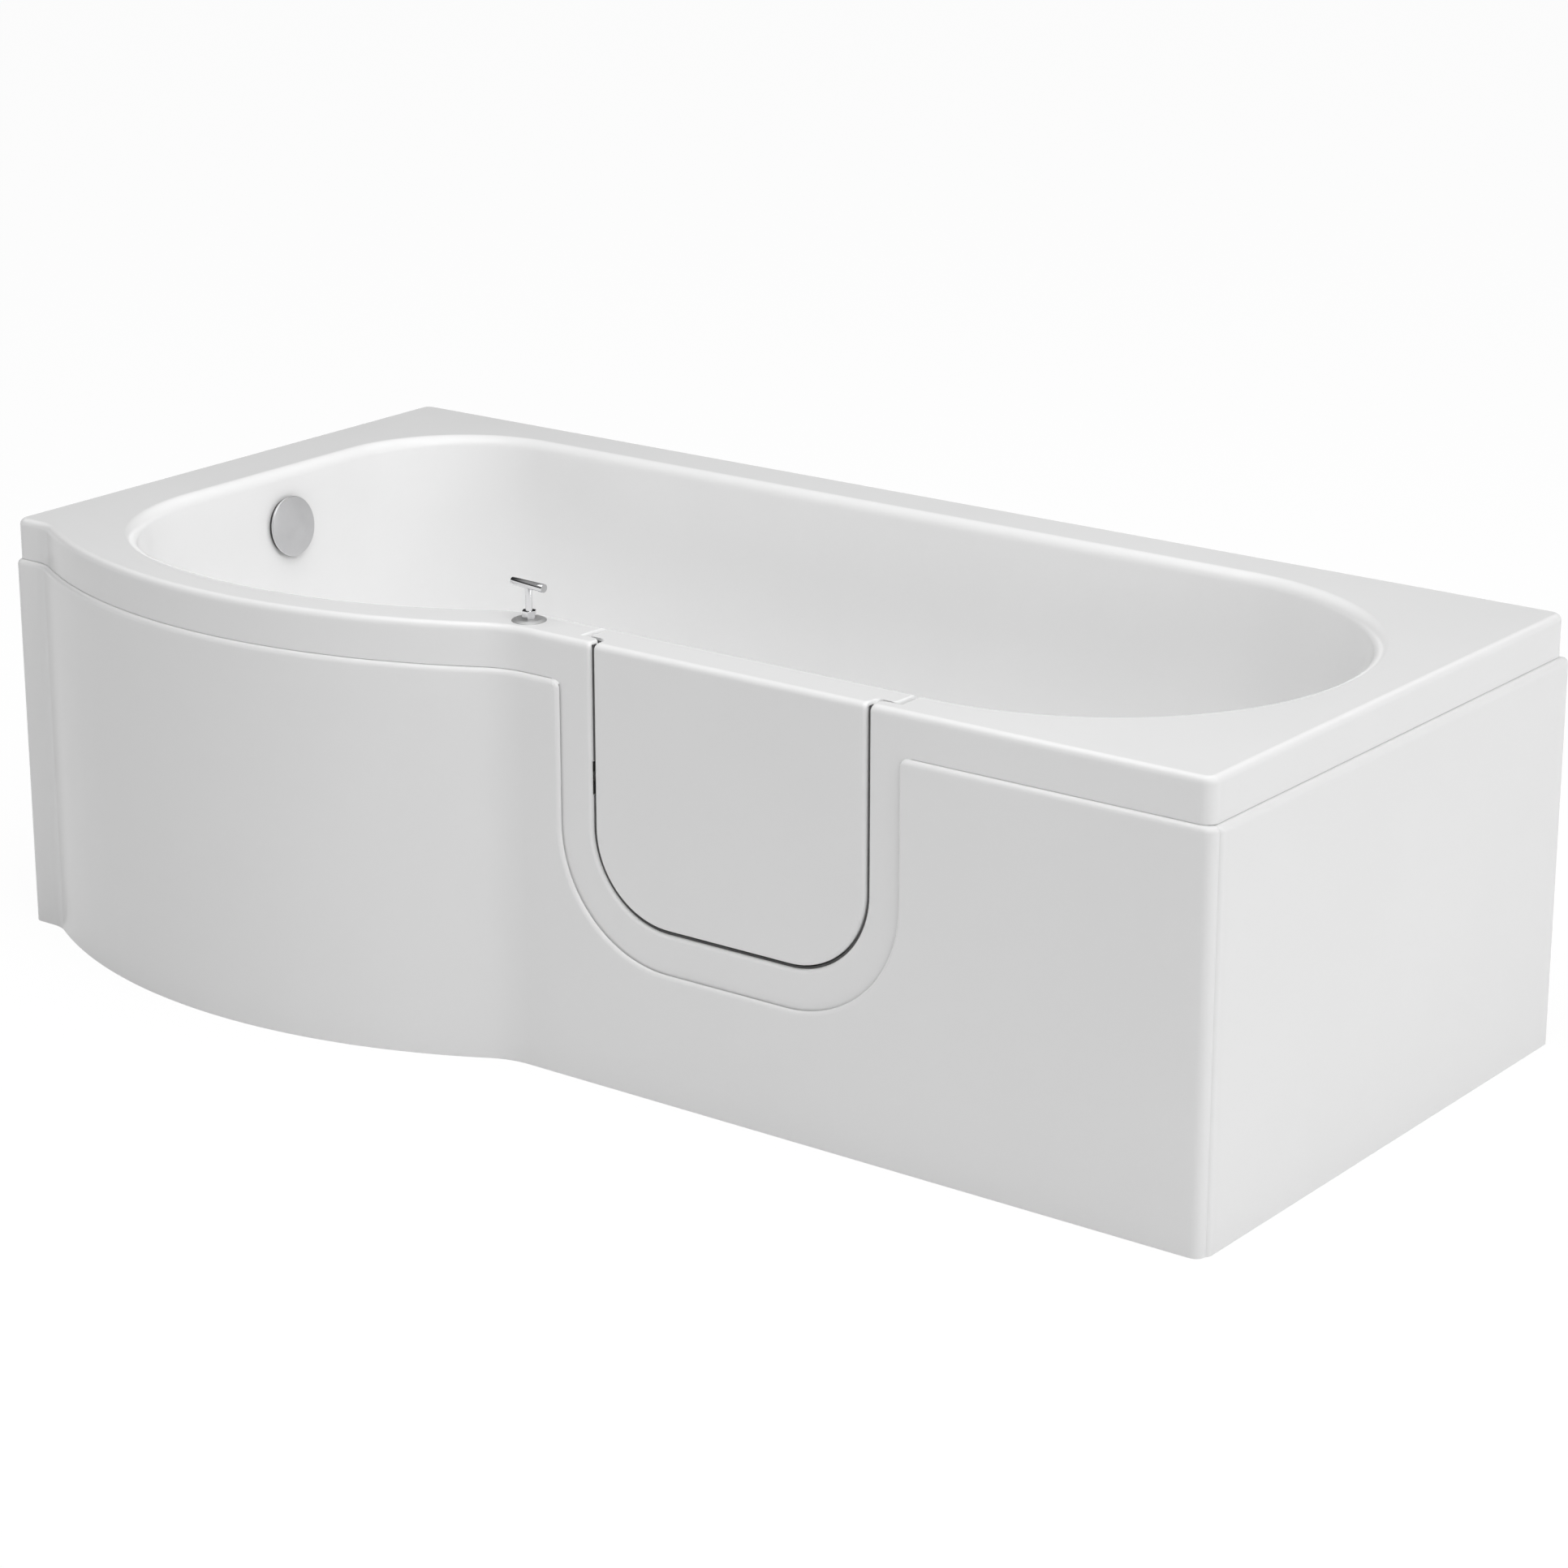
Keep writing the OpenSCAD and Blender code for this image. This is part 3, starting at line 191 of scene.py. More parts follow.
def rim_ring(e):
    """The rim's outline drawn in by e, with as many points as the basin's."""
    n_back, n_rest, n_rest2, n_hollow, n_bow, n_front = COUNTS
    r = max(CORNER_R - e, 1)
    right, front = LONG - e, -NARROW + e
    start_x, start_y = BOW_X - BOW_LEFT, -NARROW - BOW_START_R
    end_x, end_y = BOW_X + BOW_RIGHT, -NARROW - BOW_END_R
    return (
        arc(e + r, -e - r, r, 180, 90, n_back)
        + arc(right - r, -e - r, r, 90, 0, n_rest)
        + arc(right - r, front + r, r, 0, -90, n_rest2)
        + arc(end_x, end_y, BOW_END_R + e, 90, BOW_END + 180, n_hollow)
        + arc(BOW_X, -BOW_Y, BOW_R - e, *trimmed(BOW_END, BOW_START), n_bow)
        + arc(start_x, start_y, BOW_START_R + e, BOW_START + 180, 90, n_front // 2)
        + arc(e + r, front + r, r, -90, -180, n_front // 2)
    )


def lift(ring, z):
    return [(x, -y, z) for x, y in ring]


def wall_ring(z, e):
    return lift(basin_ring((HIGH - z) / DEPTH, e), z)


def quarter(n):
    """Pairs (1 - sin, 1 - cos) over a quarter turn, in n steps."""
    turns = [math.pi / 2 * i / n for i in range(n + 1)]
    return [(1 - math.sin(a), 1 - math.cos(a)) for a in turns]


def show(name, data):
    """A new object for a mesh, lamp or camera, in the scene."""
    thing = bpy.data.objects.new(name, data)
    bpy.context.scene.collection.objects.link(thing)
    return thing


def turn_out(mesh, near=None):
    """Makes every face point outwards, after points nearer than near are merged."""
    shape = bmesh.new()
    shape.from_mesh(mesh)
    if near:
        bmesh.ops.remove_doubles(shape, verts=shape.verts, dist=near)
    bmesh.ops.recalc_face_normals(shape, faces=shape.faces)
    shape.to_mesh(mesh)
    shape.free()


def solid(name, points, faces, finishes=(), index=None):
    """A closed mesh from points of the drawing."""
    mesh = bpy.data.meshes.new(name)
    mesh.from_pydata([place(*p) for p in points], [], faces)
    for finish in finishes:
        mesh.materials.append(finish)
    if index:
        mesh.polygons.foreach_set("material_index", index)
    turn_out(mesh)
    return show(name, mesh)


def loft(name, rings, finishes=(), back_from=None, rows=0):
    """A closed skin over rings of equal count.

    Faces from ring back_from on take the second finish. The first and last ring are closed by
    one face, or by as many strips from side to side as rows says and a face over the rest.
    """
    n = len(rings[0])
    faces, index = [], []
    for first in (0, (len(rings) - 1) * n):
        strips = [(j, j + 1, n - 2 - j, n - 1 - j) for j in range(rows)]
        for face in strips + [tuple(range(rows, n - rows))]:
            faces.append(tuple(first + j for j in face))
            index.append(1 if back_from and first else 0)
    for k in range(len(rings) - 1):
        for j in range(n):
            i = (j + 1) % n
            faces.append((k * n + j, (k + 1) * n + j, (k + 1) * n + i, k * n + i))
            index.append(1 if back_from and k >= back_from else 0)
    return solid(name, [p for ring in rings for p in ring], faces, finishes, index)


def u_ring(half, low, r, top, round_z, above, shift_e, shift_y, y):
    """A U drawn out from its middle line, closed at the top.

    Its upper ends lean sideways by shift_e and in depth by shift_y.
    """
    ends = []
    for up, lean in quarter(6):
        ends.append((top - round_z * up, half + shift_e * lean, y + shift_y * lean))
    ends.reverse()
    if above:
        ends.insert(0, (top + above, half + shift_e, y + shift_y))
    left = [(DOOR_X - wide, deep, z) for z, wide, deep in ends]
    right = [(DOOR_X + wide, deep, z) for z, wide, deep in reversed(ends)]
    low_left = arc(DOOR_X - half + r, low + r, r, 180, 270, 24)
    low_right = arc(DOOR_X + half - r, low + r, r, 270, 360, 24)
    return left + [(x, y, z) for x, z in low_left + low_right] + right


def u_solid(name, profile, half, low, r, top, lean, above=0.0, finishes=()):
    """A U-shaped body over a profile of (out, y) from front to back.

    lean says how its upper edges round off: height, sideways, then depth at the front and at
    the back, which fades to nothing at the last value's y. Points AHEAD or BEHIND stay flat.
    """
    round_z, shift_e, front, back, still = lean
    near = max(y for e, y in profile if y < AHEAD)
    far = min(y for e, y in profile if y > BEHIND)
    rings = []
    for e, y in profile:
        share = (y - still) / (near - still) if y > still else (still - y) / (still - far)
        shift_y = (front if y > still else back) * share if far <= y <= near else 0.0
        rings.append(u_ring(half + e, low - e, r + e, top, round_z, above, shift_e, shift_y, y))
    return loft(name, rings, finishes, rows=6)


def cut(piece, tool, how="DIFFERENCE"):
    """Cuts or joins one mesh with another and drops the tool."""
    change = piece.modifiers.new("cut", "BOOLEAN")
    change.operation, change.solver, change.object = how, "EXACT", tool
    settle(piece)
    bpy.data.objects.remove(tool, do_unlink=True)
    return piece


def settle(piece):
    """Turns a piece with modifiers into a plain mesh."""
    graph = bpy.context.evaluated_depsgraph_get()
    mesh = bpy.data.meshes.new_from_object(piece.evaluated_get(graph), depsgraph=graph)
    piece.modifiers.clear()
    piece.data = mesh
    return piece


def rod(name, a, b, r, n=64):
    """A round cutter between two points of the drawing."""
    a, b = Vector(place(*a)), Vector(place(*b))
    shape = bmesh.new()
    bmesh.ops.create_cone(
        shape,
        cap_ends=True,
        segments=n,
        radius1=r / 1000,
        radius2=r / 1000,
        depth=(b - a).length,
    )
    turn = (b - a).to_track_quat("Z", "Y").to_matrix().to_4x4()
    bmesh.ops.transform(shape, matrix=Matrix.Translation((a + b) / 2) @ turn, verts=shape.verts)
    mesh = bpy.data.meshes.new(name)
    shape.to_mesh(mesh)
    shape.free()
    return show(name, mesh)


def lathe(name, outline, foot, away, finishes, front_from, n=96):
    """A turned solid: (radius, height) points from axis to axis.

    It stands at foot and looks along away. Faces from outline point front_from on take the
    second finish.
    """
    points, faces, index = [], [], []
    for r, z in outline:
        # The poles keep a tiny radius until the points are merged
        r = max(r, 0.0001)
        for i in range(n):
            turn = 2 * math.pi * i / n
            points.append((r * math.cos(turn) / 1000, r * math.sin(turn) / 1000, z / 1000))
    for k in range(len(outline) - 1):
        for i in range(n):
            j = (i + 1) % n
            faces.append((k * n + i, k * n + j, (k + 1) * n + j, (k + 1) * n + i))
            index.append(1 if k >= front_from else 0)
    mesh = bpy.data.meshes.new(name)
    mesh.from_pydata(points, [], faces)
    for finish in finishes:
        mesh.materials.append(finish)
    mesh.polygons.foreach_set("material_index", index)
    shape = bmesh.new()
    shape.from_mesh(mesh)
    bmesh.ops.remove_doubles(shape, verts=shape.verts, dist=WELD)
    turn = Vector(away).to_track_quat("Z", "Y").to_matrix().to_4x4()
    bmesh.ops.transform(
        shape, matrix=Matrix.Translation(place(*foot)) @ turn, verts=shape.verts
    )
    shape.to_mesh(mesh)
    shape.free()
    turn_out(mesh)
    return show(name, mesh)


def block(name, x, y, z, finishes=()):
    """A box between two corners of the drawing."""
    points = [(a, b, c) for a in x for b in y for c in z]
    faces = [(0, 1, 3, 2), (4, 6, 7, 5), (0, 4, 5, 1), (2, 3, 7, 6), (0, 2, 6, 4), (1, 5, 7, 3)]
    return solid(name, points, faces, finishes)


def finish_piece(piece, body, nodes, smooth=35.0):
    """Smooths a piece, keeps its sharp edges, and hands it to its body."""
    shape = bmesh.new()
    shape.from_mesh(piece.data)
    bmesh.ops.remove_doubles(shape, verts=shape.verts, dist=WELD)
    bmesh.ops.recalc_face_normals(shape, faces=shape.faces)
    for face in shape.faces:
        face.smooth = True
    limit = math.radians(smooth)
    for edge in shape.edges:
        edge.smooth = len(edge.link_faces) == 2 and edge.calc_face_angle(math.pi) < limit
    shape.to_mesh(piece.data)
    shape.free()
    even = piece.modifiers.new("even shading", "WEIGHTED_NORMAL")
    even.mode, even.weight, even.keep_sharp = "FACE_AREA", 60, True
    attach(piece, body)
    if nodes:
        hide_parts(*nodes)
    return piece


# Scales of the broad and the fine noise on a surface, unless its finish gives others
BROAD, FINE = 4.0, 220.0


def wear_group():
    """A shared effect: broad and fine noise on the surface's own place, as two values."""
    group = bpy.data.node_groups.new("surface_unevenness", "ShaderNodeTree")
    for label, value in (("Broad", BROAD), ("Fine", FINE)):
        socket = group.interface.new_socket(label, in_out="INPUT", socket_type="NodeSocketFloat")
        socket.default_value = value
    for label in ("Patches", "Grain"):
        group.interface.new_socket(label, in_out="OUTPUT", socket_type="NodeSocketFloat")
    nodes, links = group.nodes, group.links
    given, out = nodes.new("NodeGroupInput"), nodes.new("NodeGroupOutput")
    where = nodes.new("ShaderNodeTexCoord")
    for source, detail, target in (("Broad", 3.0, "Patches"), ("Fine", 4.0, "Grain")):
        noise = nodes.new("ShaderNodeTexNoise")
        noise.inputs["Detail"].default_value = detail
        links.new(where.outputs["Object"], noise.inputs["Vector"])
        links.new(given.outputs[source], noise.inputs["Scale"])
        links.new(noise.outputs["Fac"], out.inputs[target])
    return group


WEAR = wear_group()


def new_finish(
    name, color, metal, rough, spread=0.04, bump=0.02, broad=BROAD, fine=FINE, shine=0.5
):
    """A surface whose roughness and height vary a little from place to place."""
    finish = bpy.data.materials.new(name)
    finish.use_nodes = True
    nodes, links = finish.node_tree.nodes, finish.node_tree.links
    shader = nodes["Principled BSDF"]
    shader.inputs["Base Color"].default_value = (*color, 1)
    shader.inputs["Metallic"].default_value = metal
    shader.inputs["Specular IOR Level"].default_value = shine
    wear = nodes.new("ShaderNodeGroup")
    wear.node_tree = WEAR
    wear.inputs["Broad"].default_value = broad
    wear.inputs["Fine"].default_value = fine
    spreader = nodes.new("ShaderNodeMapRange")
    spreader.inputs["To Min"].default_value = max(rough - spread, 0.02)
    spreader.inputs["To Max"].default_value = rough + spread
    links.new(wear.outputs["Patches"], spreader.inputs["Value"])
    links.new(spreader.outputs["Result"], shader.inputs["Roughness"])
    height = nodes.new("ShaderNodeBump")
    height.inputs["Strength"].default_value = bump
    height.inputs["Distance"].default_value = 0.0004
    links.new(wear.outputs["Grain"], height.inputs["Height"])
    links.new(height.outputs["Normal"], shader.inputs["Normal"])
    return finish


def two_tones(finish, source, dark, light, low=0.0, high=1.0):
    """Colours a finish between two tones, as a node's output says."""
    nodes, links = finish.node_tree.nodes, finish.node_tree.links
    ramp = nodes.new("ShaderNodeValToRGB")
    first, last = ramp.color_ramp.elements
    first.position, first.color = low, (*dark, 1)
    last.position, last.color = high, (*light, 1)
    links.new(source, ramp.inputs["Fac"])
    links.new(ramp.outputs["Color"], nodes["Principled BSDF"].inputs["Base Color"])
    return finish


def tint(finish, dark, light, low=0.35, high=0.65):
    """Lets the colour drift between two tones with the surface's patches."""
    wear = next(n for n in finish.node_tree.nodes if n.type == "GROUP")
    return two_tones(finish, wear.outputs["Patches"], dark, light, low, high)


def flaked(finish, scale, dark, light):
    """Breaks the colour into small flakes of tones between two."""
    nodes, links = finish.node_tree.nodes, finish.node_tree.links
    flakes, where = nodes.new("ShaderNodeTexVoronoi"), nodes.new("ShaderNodeTexCoord")
    flakes.inputs["Scale"].default_value = scale
    links.new(where.outputs["Object"], flakes.inputs["Vector"])
    return two_tones(finish, flakes.outputs["Color"], dark, light)


def stretched(finish, stretch, strength=None):
    """Runs the grain along one direction, as brushing or sawing does, and into the bump."""
    nodes, links = finish.node_tree.nodes, finish.node_tree.links
    where = nodes.new("ShaderNodeTexCoord")
    scale = nodes.new("ShaderNodeMapping")
    scale.inputs["Scale"].default_value = stretch
    noise = nodes.new("ShaderNodeTexNoise")
    noise.inputs["Scale"].default_value = 60.0
    noise.inputs["Detail"].default_value = 6.0
    links.new(where.outputs["Object"], scale.inputs["Vector"])
    links.new(scale.outputs["Vector"], noise.inputs["Vector"])
    bump = next(n for n in nodes if n.type == "BUMP")
    if strength:
        bump.inputs["Strength"].default_value = strength
    links.new(noise.outputs["Fac"], bump.inputs["Height"])
    return noise


def white(name, rough, bump, fine):
    """Smooth white plastic, a little less shiny than most."""
    finish = new_finish(name, (0.92, 0.92, 0.92), 0.0, rough, 0.03, bump, 3.0, fine, 0.3)
    return tint(finish, (0.915, 0.915, 0.915), (0.93, 0.93, 0.93))


def laminate():
    """The glass-fibre laminate on the shell's back."""
    finish = new_finish("fibre_laminate", (0.75, 0.74, 0.7), 0.0, 0.6, 0.1, 0.35, 9.0, 380.0)
    return tint(finish, (0.66, 0.65, 0.61), (0.8, 0.79, 0.75), 0.3, 0.7)


def plated(name, color, rough, dark, light):
    """Plating, from bright chrome to matt nickel."""
    finish = new_finish(name, color, 1.0, rough, 0.03, 0.01, 30.0, 900.0)
    return tint(finish, dark, light)


def brushed_steel():
    finish = new_finish(
        "brushed_stainless", (0.62, 0.62, 0.61), 1.0, 0.28, 0.06, 0.05, 40.0, 900.0
    )
    stretched(finish, (30.0, 30.0, 1.5), 0.12)
    return finish


def zinc():
    finish = new_finish("zinc_plate", (0.55, 0.56, 0.57), 1.0, 0.36, 0.1, 0.05, 60.0, 700.0)
    return flaked(finish, 130.0, (0.46, 0.47, 0.48), (0.64, 0.65, 0.66))


def brass():
    finish = new_finish("brass", (0.75, 0.58, 0.3), 1.0, 0.25, 0.06, 0.05, 60.0, 800.0)
    return tint(finish, (0.7, 0.52, 0.26), (0.8, 0.63, 0.34))


def rubber(name, dark, light):
    finish = new_finish(name, dark, 0.0, 0.65, 0.08, 0.15, 30.0, 900.0)
    return tint(finish, dark, light)


def plastic(name, dark, light):
    finish = new_finish(name, dark, 0.0, 0.38, 0.06, 0.06, 20.0, 500.0)
    return tint(finish, dark, light)


def timber():
    finish = new_finish("sawn_timber", (0.6, 0.43, 0.26), 0.0, 0.72, 0.08, 0.3, 12.0, 300.0)
    grain = stretched(finish, (0.35, 3.0, 3.0)).outputs["Fac"]
    return two_tones(finish, grain, (0.45, 0.29, 0.15), (0.7, 0.52, 0.33), 0.35, 0.65)


def chipboard():
    finish = new_finish("chipboard", (0.55, 0.42, 0.27), 0.0, 0.75, 0.06, 0.3, 20.0, 400.0)
    return flaked(finish, 180.0, (0.42, 0.3, 0.17), (0.68, 0.54, 0.36))


FINISH = {
    "acrylic": white("white_acrylic", 0.16, 0.012, 60.0),
    "laminate": laminate(),
    "panel": white("white_panel", 0.19, 0.015, 70.0),
    "chrome": plated("chrome", (0.7, 0.7, 0.71), 0.07, (0.68, 0.68, 0.69), (0.72, 0.72, 0.73)),
    "satin_chrome": plated(
        "satin_chrome", (0.7, 0.7, 0.71), 0.3, (0.68, 0.68, 0.69), (0.73, 0.73, 0.74)
    ),
    "satin_nickel": plated(
        "satin_nickel", (0.56, 0.56, 0.56), 0.55, (0.54, 0.54, 0.54), (0.58, 0.58, 0.58)
    ),
    "stainless": brushed_steel(),
    "zinc_steel": zinc(),
    "brass": brass(),
    # Dark rubber: the door seal's own colour, and also the colour of the strip that paints the
    # shade in the door's gap
    "seal_rubber": rubber("seal_rubber", (0.07, 0.07, 0.07), (0.1, 0.1, 0.1)),
    "black_rubber": rubber("black_rubber", (0.02, 0.02, 0.02), (0.035, 0.035, 0.035)),
    "black_plastic": plastic("black_plastic", (0.025, 0.025, 0.026), (0.04, 0.04, 0.041)),
    "white_plastic": plastic("white_plastic", (0.76, 0.76, 0.75), (0.82, 0.82, 0.81)),
    "timber": timber(),
    "chipboard": chipboard(),
}


def shell_rings():
    """The shell's rings from the basin's floor up, over the rim and down behind.

    Also the number of the ring from which the back's finish starts.
    """
    rings = [wall_ring(FLOOR_Z + FLOOR_R * c, FLOOR_R * s) for s, c in quarter(10)]
    for k in (1, 2, 3):
        rings.append(wall_ring(mix(FLOOR_Z + FLOOR_R, HIGH - BASIN_EDGE_R, k / 4), 0))
    rings += [wall_ring(HIGH - BASIN_EDGE_R * s, -BASIN_EDGE_R * c) for s, c in quarter(10)]
    rings += [lift(rim_ring(EDGE_R * s), HIGH - EDGE_R * c) for s, c in quarter(8)]
    rings.append(lift(rim_ring(0), SKIRT_Z))
    back = len(rings)
    rings += [lift(rim_ring(SHELL), SKIRT_Z), lift(rim_ring(SHELL), HIGH - SHELL)]
    rings += [wall_ring(HIGH - SHELL, -SHELL - 2), wall_ring(HIGH - SHELL - 8, -SHELL)]
    for s, c in reversed(quarter(8)):
        cos, sin = 1 - c, 1 - s
        rings.append(wall_ring(FLOOR_Z + FLOOR_R * c - SHELL * cos, FLOOR_R * s - SHELL * sin))
    return rings, back


def doorway_cutter():
    """The opening with its rounded edges, the step to the rebate and the softened top corners."""
    front_r, back_r = 5, 4
    profile = [(front_r + HAIR, AHEAD)]
    profile += arc(front_r, NARROW - front_r, front_r, 90, 180, 9)
    profile += arc(STEP_R, STEP_Y + STEP_R, STEP_R, 180, 270, 9)
    profile.append((REBATE, STEP_Y))
    profile += arc(REBATE + back_r, BASIN_FRONT + back_r, back_r, 180, 270, 7)
    profile.append((REBATE + back_r + HAIR, BEHIND))
    lean = (8.0, 4.0, -8.0, 8.0, STEP_Y)
    return u_solid("doorway_cutter", profile, DOOR_HALF, SILL_Z, DOOR_R, HIGH, lean, 30.0)


def plate_space(name, x):
    """The space of one of the lock's two plates, over a range of x."""
    deep = (BOLT_Y - PLATE_HALF_Y, BOLT_Y + PLATE_HALF_Y)
    return block(name, x, deep, (BOLT_Z - PLATE_HALF_Z, BOLT_Z + PLATE_HALF_Z))


def bath_shell():
    rings, back = shell_rings()
    sides = [FINISH["acrylic"], FINISH["laminate"]]
    shell = loft("bath", rings, sides, back)
    profile = [(SURROUND_OUT, y) for y in (NARROW, SURROUND_BACK + 7, SURROUND_BACK)]
    low, top = SILL_Z - GAP, HIGH - 12
    surround = u_solid(
        "surround", profile, DOOR_HALF, low, DOOR_R, top, PLAIN, finishes=sides
    )
    cut(shell, surround, "UNION")
    cut(shell, doorway_cutter())
    cut(shell, rod("waste_hole", (WASTE_X, WASTE_Y, 110), (WASTE_X, WASTE_Y, 140), WASTE_R))
    ends = [[OVERFLOW[i] + step * CAP_LOOKS[i] for i in range(3)] for step in (-12, 12)]
    cut(shell, rod("overflow_hole", *ends, WASTE_R))
    cut(shell, rod("handle_hole", (HANDLE_X, HANDLE_Y, 495), (HANDLE_X, HANDLE_Y, 515), 5.1))
    ends = [(x, BOLT_Y, BOLT_Z) for x in (830, JAMB_X + 3)]
    cut(shell, rod("bolt_hole", *ends, BOLT_HOLE_R, 32))
    cut(shell, plate_space("plate_recess", (JAMB_X - PLATE_T, JAMB_X + 3)))
    return finish_piece(shell, "bath", ["bath_shell"])


def doorway_strip():
    """A dark strip on the jambs and the sill, just behind the front: painted shade deep in the
    door's gap.

    It stands off the jamb by STRIP_OUT and leaves the lock's plate open.
    """
    # A sheet in the dark rubber finish, standing in for the shade inside the gap
    profile, shade_strip_finishes = [(0.4, 739.5), (0.4, 733)], [FINISH["seal_rubber"]]
    strip = u_solid(
        "doorway_strip", profile, DOOR_HALF, SILL_Z, DOOR_R, HIGH - 3, PLAIN, 0.0, shade_strip_finishes
    )
    middle = [(-STRIP_OUT, 744), (-STRIP_OUT, 728)]
    cut(strip, u_solid("strip_middle", middle, DOOR_HALF, SILL_Z, DOOR_R, HIGH, PLAIN, 30.0))
    cut(strip, block("plate_gap", (880, 900), (720, 750), (BOLT_Z - 20, BOLT_Z + 20)))
    return finish_piece(strip, "bath", [])


def door():
    """The door: plug, hollow round to the lip, lip with rounded edges, and the bolt's hole."""
    front_r, lip_r, back_r = 5, 5, 4
    profile = arc(-GAP - front_r, NARROW - front_r, front_r, 90, 0, 9)
    profile += arc(STEP_R, STEP_Y + STEP_R, STEP_R + GAP, 180, 269, 14)
    profile += arc(LIP_OUT - lip_r, LIP_Y - lip_r, lip_r, 90, 0, 7)
    profile += arc(LIP_OUT - back_r, DOOR_BACK + back_r, back_r, 0, -90, 8)
    lean = (7.0, -4.0, -8.0, 6.0, LIP_Y - 0.05)
    slab = u_solid(
        "door_panel", profile, DOOR_HALF, SILL_Z, DOOR_R, HIGH, lean, 0.0, [FINISH["acrylic"]]
    )
    left = JAMB_X + GAP
    ends = [(x, BOLT_Y, BOLT_Z) for x in (left - 5, left + 12)]
    cut(slab, rod("bolt_socket", *ends, BOLT_HOLE_R, 32))
    cut(slab, plate_space("strike_recess", (left - 5, left + PLATE_T)))
    return finish_piece(slab, "door", ["door"])


def panel_stations():
    """Stations of the front panel's line, left to right.

    Each is a point, the direction to the back, the flange's depth and the hook's height.
    """
    end_r, proud = PANEL_END_R, PANEL_Y - NARROW
    end, plain = (FLANGE_END, HOOK_END), (FLANGE, HOOK)
    turns = [math.radians(a) for a in range(0, 91, 9)]
    stations = [((0.0, PANEL_BACK_Y), (1, 0), *end)]
    for s, c in [(math.sin(a), math.cos(a)) for a in turns]:
        at = (end_r - end_r * c, PANEL_Y - end_r + end_r * s)
        stations.append((at, (c, -s), *end))
    for x, hook in ((end_r + 1, HOOK_END), (HOOK_X[0], HOOK_END), (HOOK_X[0] + 0.5, HOOK)):
        stations.append(((x, PANEL_Y), (0, -1), FLANGE, hook))
    start = (BOW_X - BOW_LEFT, NARROW + BOW_START_R, BOW_START_R - proud)
    finish = (BOW_X + BOW_RIGHT, NARROW + BOW_END_R, BOW_END_R - proud)
    around = [
        (*start, 90, BOW_START + 180, 14, 1),
        (BOW_X, BOW_Y, BOW_R + proud, *trimmed(BOW_START, BOW_END), 72, -1),
        (*finish, BOW_END + 180, 90, 18, 1),
    ]
    for x, y, r, first, last, n, side in around:
        for c, s in arc(0, 0, 1, first, last, n):
            stations.append(((x + r * c, y - r * s), (side * c, -side * s), *plain))
    stations.append(((HOOK_X[1] - 0.5, PANEL_Y), (0, -1), *plain))
    stations.append(((HOOK_X[1], PANEL_Y), (0, -1), *end))
    for s, c in [(math.sin(a), math.cos(a)) for a in turns]:
        at = (PANEL_END_X - end_r + end_r * s, PANEL_Y - end_r + end_r * c)
        stations.append((at, (-s, -c), *end))
    return stations


def panel_section(deepest, hook):
    """Depth and height round the panel's section: face, rounded top edge, flange and hook."""
    hook_front, edge_r = min(deepest - 0.3, 11.3), 6
    flange_z = PANEL_TOP - PANEL_T
    section = [(0, 0), (PANEL_T, 0), (PANEL_T, flange_z), (deepest, flange_z)]
    section += [(deepest, PANEL_TOP + hook), (hook_front, PANEL_TOP + hook)]
    section.append((hook_front, PANEL_TOP))
    return section + [(edge_r * s, PANEL_TOP - edge_r * c) for s, c in quarter(8)]


def front_panel():
    rings = []
    for (x, y), (dx, dy), deepest, hook in panel_stations():
        ring = []
        for depth, z in panel_section(deepest, hook):
            ring.append((x + dx * depth, y + dy * depth, z))
        rings.append(ring)
    panel = loft("front_panel_skin", rings, [FINISH["panel"]])
    edge_r, flat_y = 5, 738
    profile = [(edge_r + HAIR, AHEAD)] + arc(edge_r, PANEL_Y - edge_r, edge_r, 90, 180, 8)
    profile += [(0, flat_y), (0, 690)]
    lean = (9.0, 9.0, -6.0, 0.0, flat_y)
    cut(panel, u_solid("notch_cutter", profile, CUT_HALF, CUT_Z, CUT_R, PANEL_TOP, lean, 40.0))
    return finish_piece(panel, "bath", ["front_panel"])


def end_panel():
    """A tray with rounded edges, open to the bath and to the floor, with its hook on top."""
    low_x, panel = 1664, [FINISH["panel"]]
    tray = block("end_panel_skin", (low_x, OVERALL_L), (1, 739), (0, PANEL_TOP), panel)
    shape = bmesh.new()
    shape.from_mesh(tray.data)
    inner_x, near = place(low_x, 0, 0)[0], 1e-5
    open_faces = []
    for face in shape.faces:
        inner = all(abs(v.co.x - inner_x) < near for v in face.verts)
        if inner or all(abs(v.co.z) < near for v in face.verts):
            open_faces.append(face)
    bmesh.ops.delete(shape, geom=open_faces, context="FACES_ONLY")
    bmesh.ops.bevel(
        shape,
        geom=[e for e in shape.edges if len(e.link_faces) == 2],
        offset=0.007,
        segments=8,
        profile=0.5,
        affect="EDGES",
        clamp_overlap=True,
    )
    shape.to_mesh(tray.data)
    shape.free()
    wall = tray.modifiers.new("wall", "SOLIDIFY")
    wall.thickness, wall.offset = PANEL_T / 1000, -1.0
    settle(tray)
    high = (PANEL_TOP - 3, PANEL_TOP + HOOK)
    cut(tray, block("end_hook", (1666, 1669.7), (30, 728), high, panel), "UNION")
    return finish_piece(tray, "bath", ["end_panel"])


